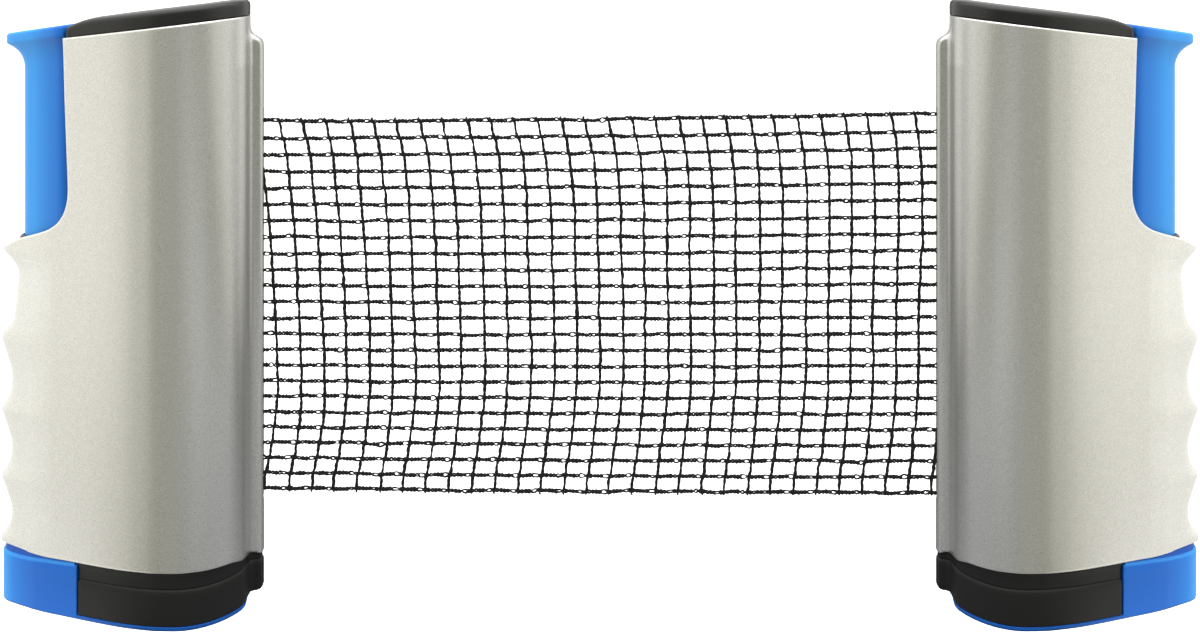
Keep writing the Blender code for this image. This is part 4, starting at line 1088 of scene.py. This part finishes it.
def sheet(name, level, mat):
    prof = [(-2.6, 0.0), (1.1, 0.0)] + [(1.1 + 0.9 * math.sin(t), 0.9 - 0.9 * math.cos(t)) for t in np.linspace(0.08, math.pi / 2, 24)] + [(2.0, 3.2)]
    verts, faces = [], []
    for y, z in prof:
        verts += [(-4.0, y, z + level), (4.0, y, z + level)]
    for i in range(len(prof) - 1):
        faces.append((2 * i, 2 * i + 1, 2 * i + 3, 2 * i + 2))
    o = obj_from(verts, faces, name, mat)
    return o


def paper():
    m, t, b = new_material("paper")
    v = coords(t)
    n = noise(t, v, 300.0, 2.0, 0.5)
    t.links.new(mix(t, remap(t, n, 0.3, 0.7, 0.0, 1.0), (0.87, 0.87, 0.87), (0.89, 0.89, 0.89)), b.inputs["Base Color"])
    b.inputs["Roughness"].default_value = 0.9
    b.inputs["Specular IOR Level"].default_value = 0.1
    b.inputs["Emission Color"].default_value = (1, 1, 1, 1)
    b.inputs["Emission Strength"].default_value = 0.5
    # the camera sees a lit sheet; the posts see the soft studio around them
    g = t.nodes.new("ShaderNodeNewGeometry")
    p = t.nodes.new("ShaderNodeSeparateXYZ")
    t.links.new(g.outputs["Position"], p.inputs[0])
    em = t.nodes.new("ShaderNodeEmission")
    t.links.new(studio_ramp(t, p.outputs[0], p.outputs[1], 0.145), em.inputs["Color"])
    lp = t.nodes.new("ShaderNodeLightPath")
    sh = t.nodes.new("ShaderNodeMixShader")
    t.links.new(lp.outputs["Is Camera Ray"], sh.inputs[0])
    t.links.new(em.outputs[0], sh.inputs[1])
    t.links.new(b.outputs[0], sh.inputs[2])
    # nothing hides the set from below
    clear = t.nodes.new("ShaderNodeBsdfTransparent")
    side = t.nodes.new("ShaderNodeMixShader")
    t.links.new(g.outputs["Backfacing"], side.inputs[0])
    t.links.new(sh.outputs[0], side.inputs[1])
    t.links.new(clear.outputs[0], side.inputs[2])
    out = next(x for x in t.nodes if x.type == "OUTPUT_MATERIAL")
    t.links.new(side.outputs[0], out.inputs["Surface"])
    return m


# The floor the camera sees lies under the fully opened jaws; the surroundings the posts reflect start at their feet.
PAPER = paper()
sheet("paper_sweep", -0.047, PAPER)
sheet("studio_surround", 0.0, PAPER).visible_camera = False

world = bpy.data.worlds.new("studio")
SCENE.world = world
world.use_nodes = True
wt = world.node_tree
bg = wt.nodes["Background"]
tc = wt.nodes.new("ShaderNodeTexCoord")
xyz = wt.nodes.new("ShaderNodeSeparateXYZ")
wt.links.new(tc.outputs["Generated"], xyz.inputs[0])
around = studio_ramp(wt, xyz.outputs[0], xyz.outputs[1], 0.0)
up = remap(wt, xyz.outputs[2], 0.35, 0.95, 0.0, 1.0)
seen = wt.nodes.new("ShaderNodeLightPath")
wt.links.new(mix(wt, seen.outputs["Is Camera Ray"], mix(wt, up, around, (1.9, 1.9, 1.9)), (1.0, 1.0, 1.0)), bg.inputs["Color"])
bg.inputs["Strength"].default_value = 1.0


def area(name, loc, target, size, power, colour=(1, 1, 1)):
    d = bpy.data.lights.new(name, "AREA")
    d.shape = "RECTANGLE"
    d.size, d.size_y = size
    d.energy = power
    d.color = colour
    o = bpy.data.objects.new(name, d)
    SCENE.collection.objects.link(o)
    o.location = loc
    o.rotation_euler = (Vector(target) - Vector(loc)).to_track_quat("-Z", "Y").to_euler()
    return o


area("overhead", (0.0, 0.1, 1.5), (0, 0.05, 0.0), (1.8, 1.2), 10.0)
area("front_top", (0.0, -0.85, 1.3), (0, 0.0, 0.1), (1.8, 0.5), 6.5)

cam = bpy.data.cameras.new("photo_view")
cam_obj = bpy.data.objects.new("photo_view", cam)
SCENE.collection.objects.link(cam_obj)
SCENE.camera = cam_obj
CAM_Y = -0.383
cam_obj.location = (0.0, CAM_Y, 0.2254)
cam_obj.rotation_mode = "QUATERNION"
cam_obj.rotation_quaternion = Vector((0, 1, 0)).to_track_quat("-Z", "Y")
cam.sensor_width = 36.0
cam.lens = 33.0
cam.clip_start = 0.01
# the photograph is cropped well below its horizon; other views use no shift
drv = cam.driver_add("shift_y").driver
drv.type = "SCRIPTED"
for nm, path in (("y", "location.y"), ("z", "location.z")):
    var = drv.variables.new()
    var.name = nm
    var.type = "SINGLE_PROP"
    var.targets[0].id = cam_obj
    var.targets[0].data_path = path
drv.expression = "-0.3072 if abs(y + 0.383) < 0.002 and abs(z - 0.2254) < 0.002 else 0.0"
SCENE.view_settings.view_transform = "Standard"
SCENE.view_settings.look = "None"
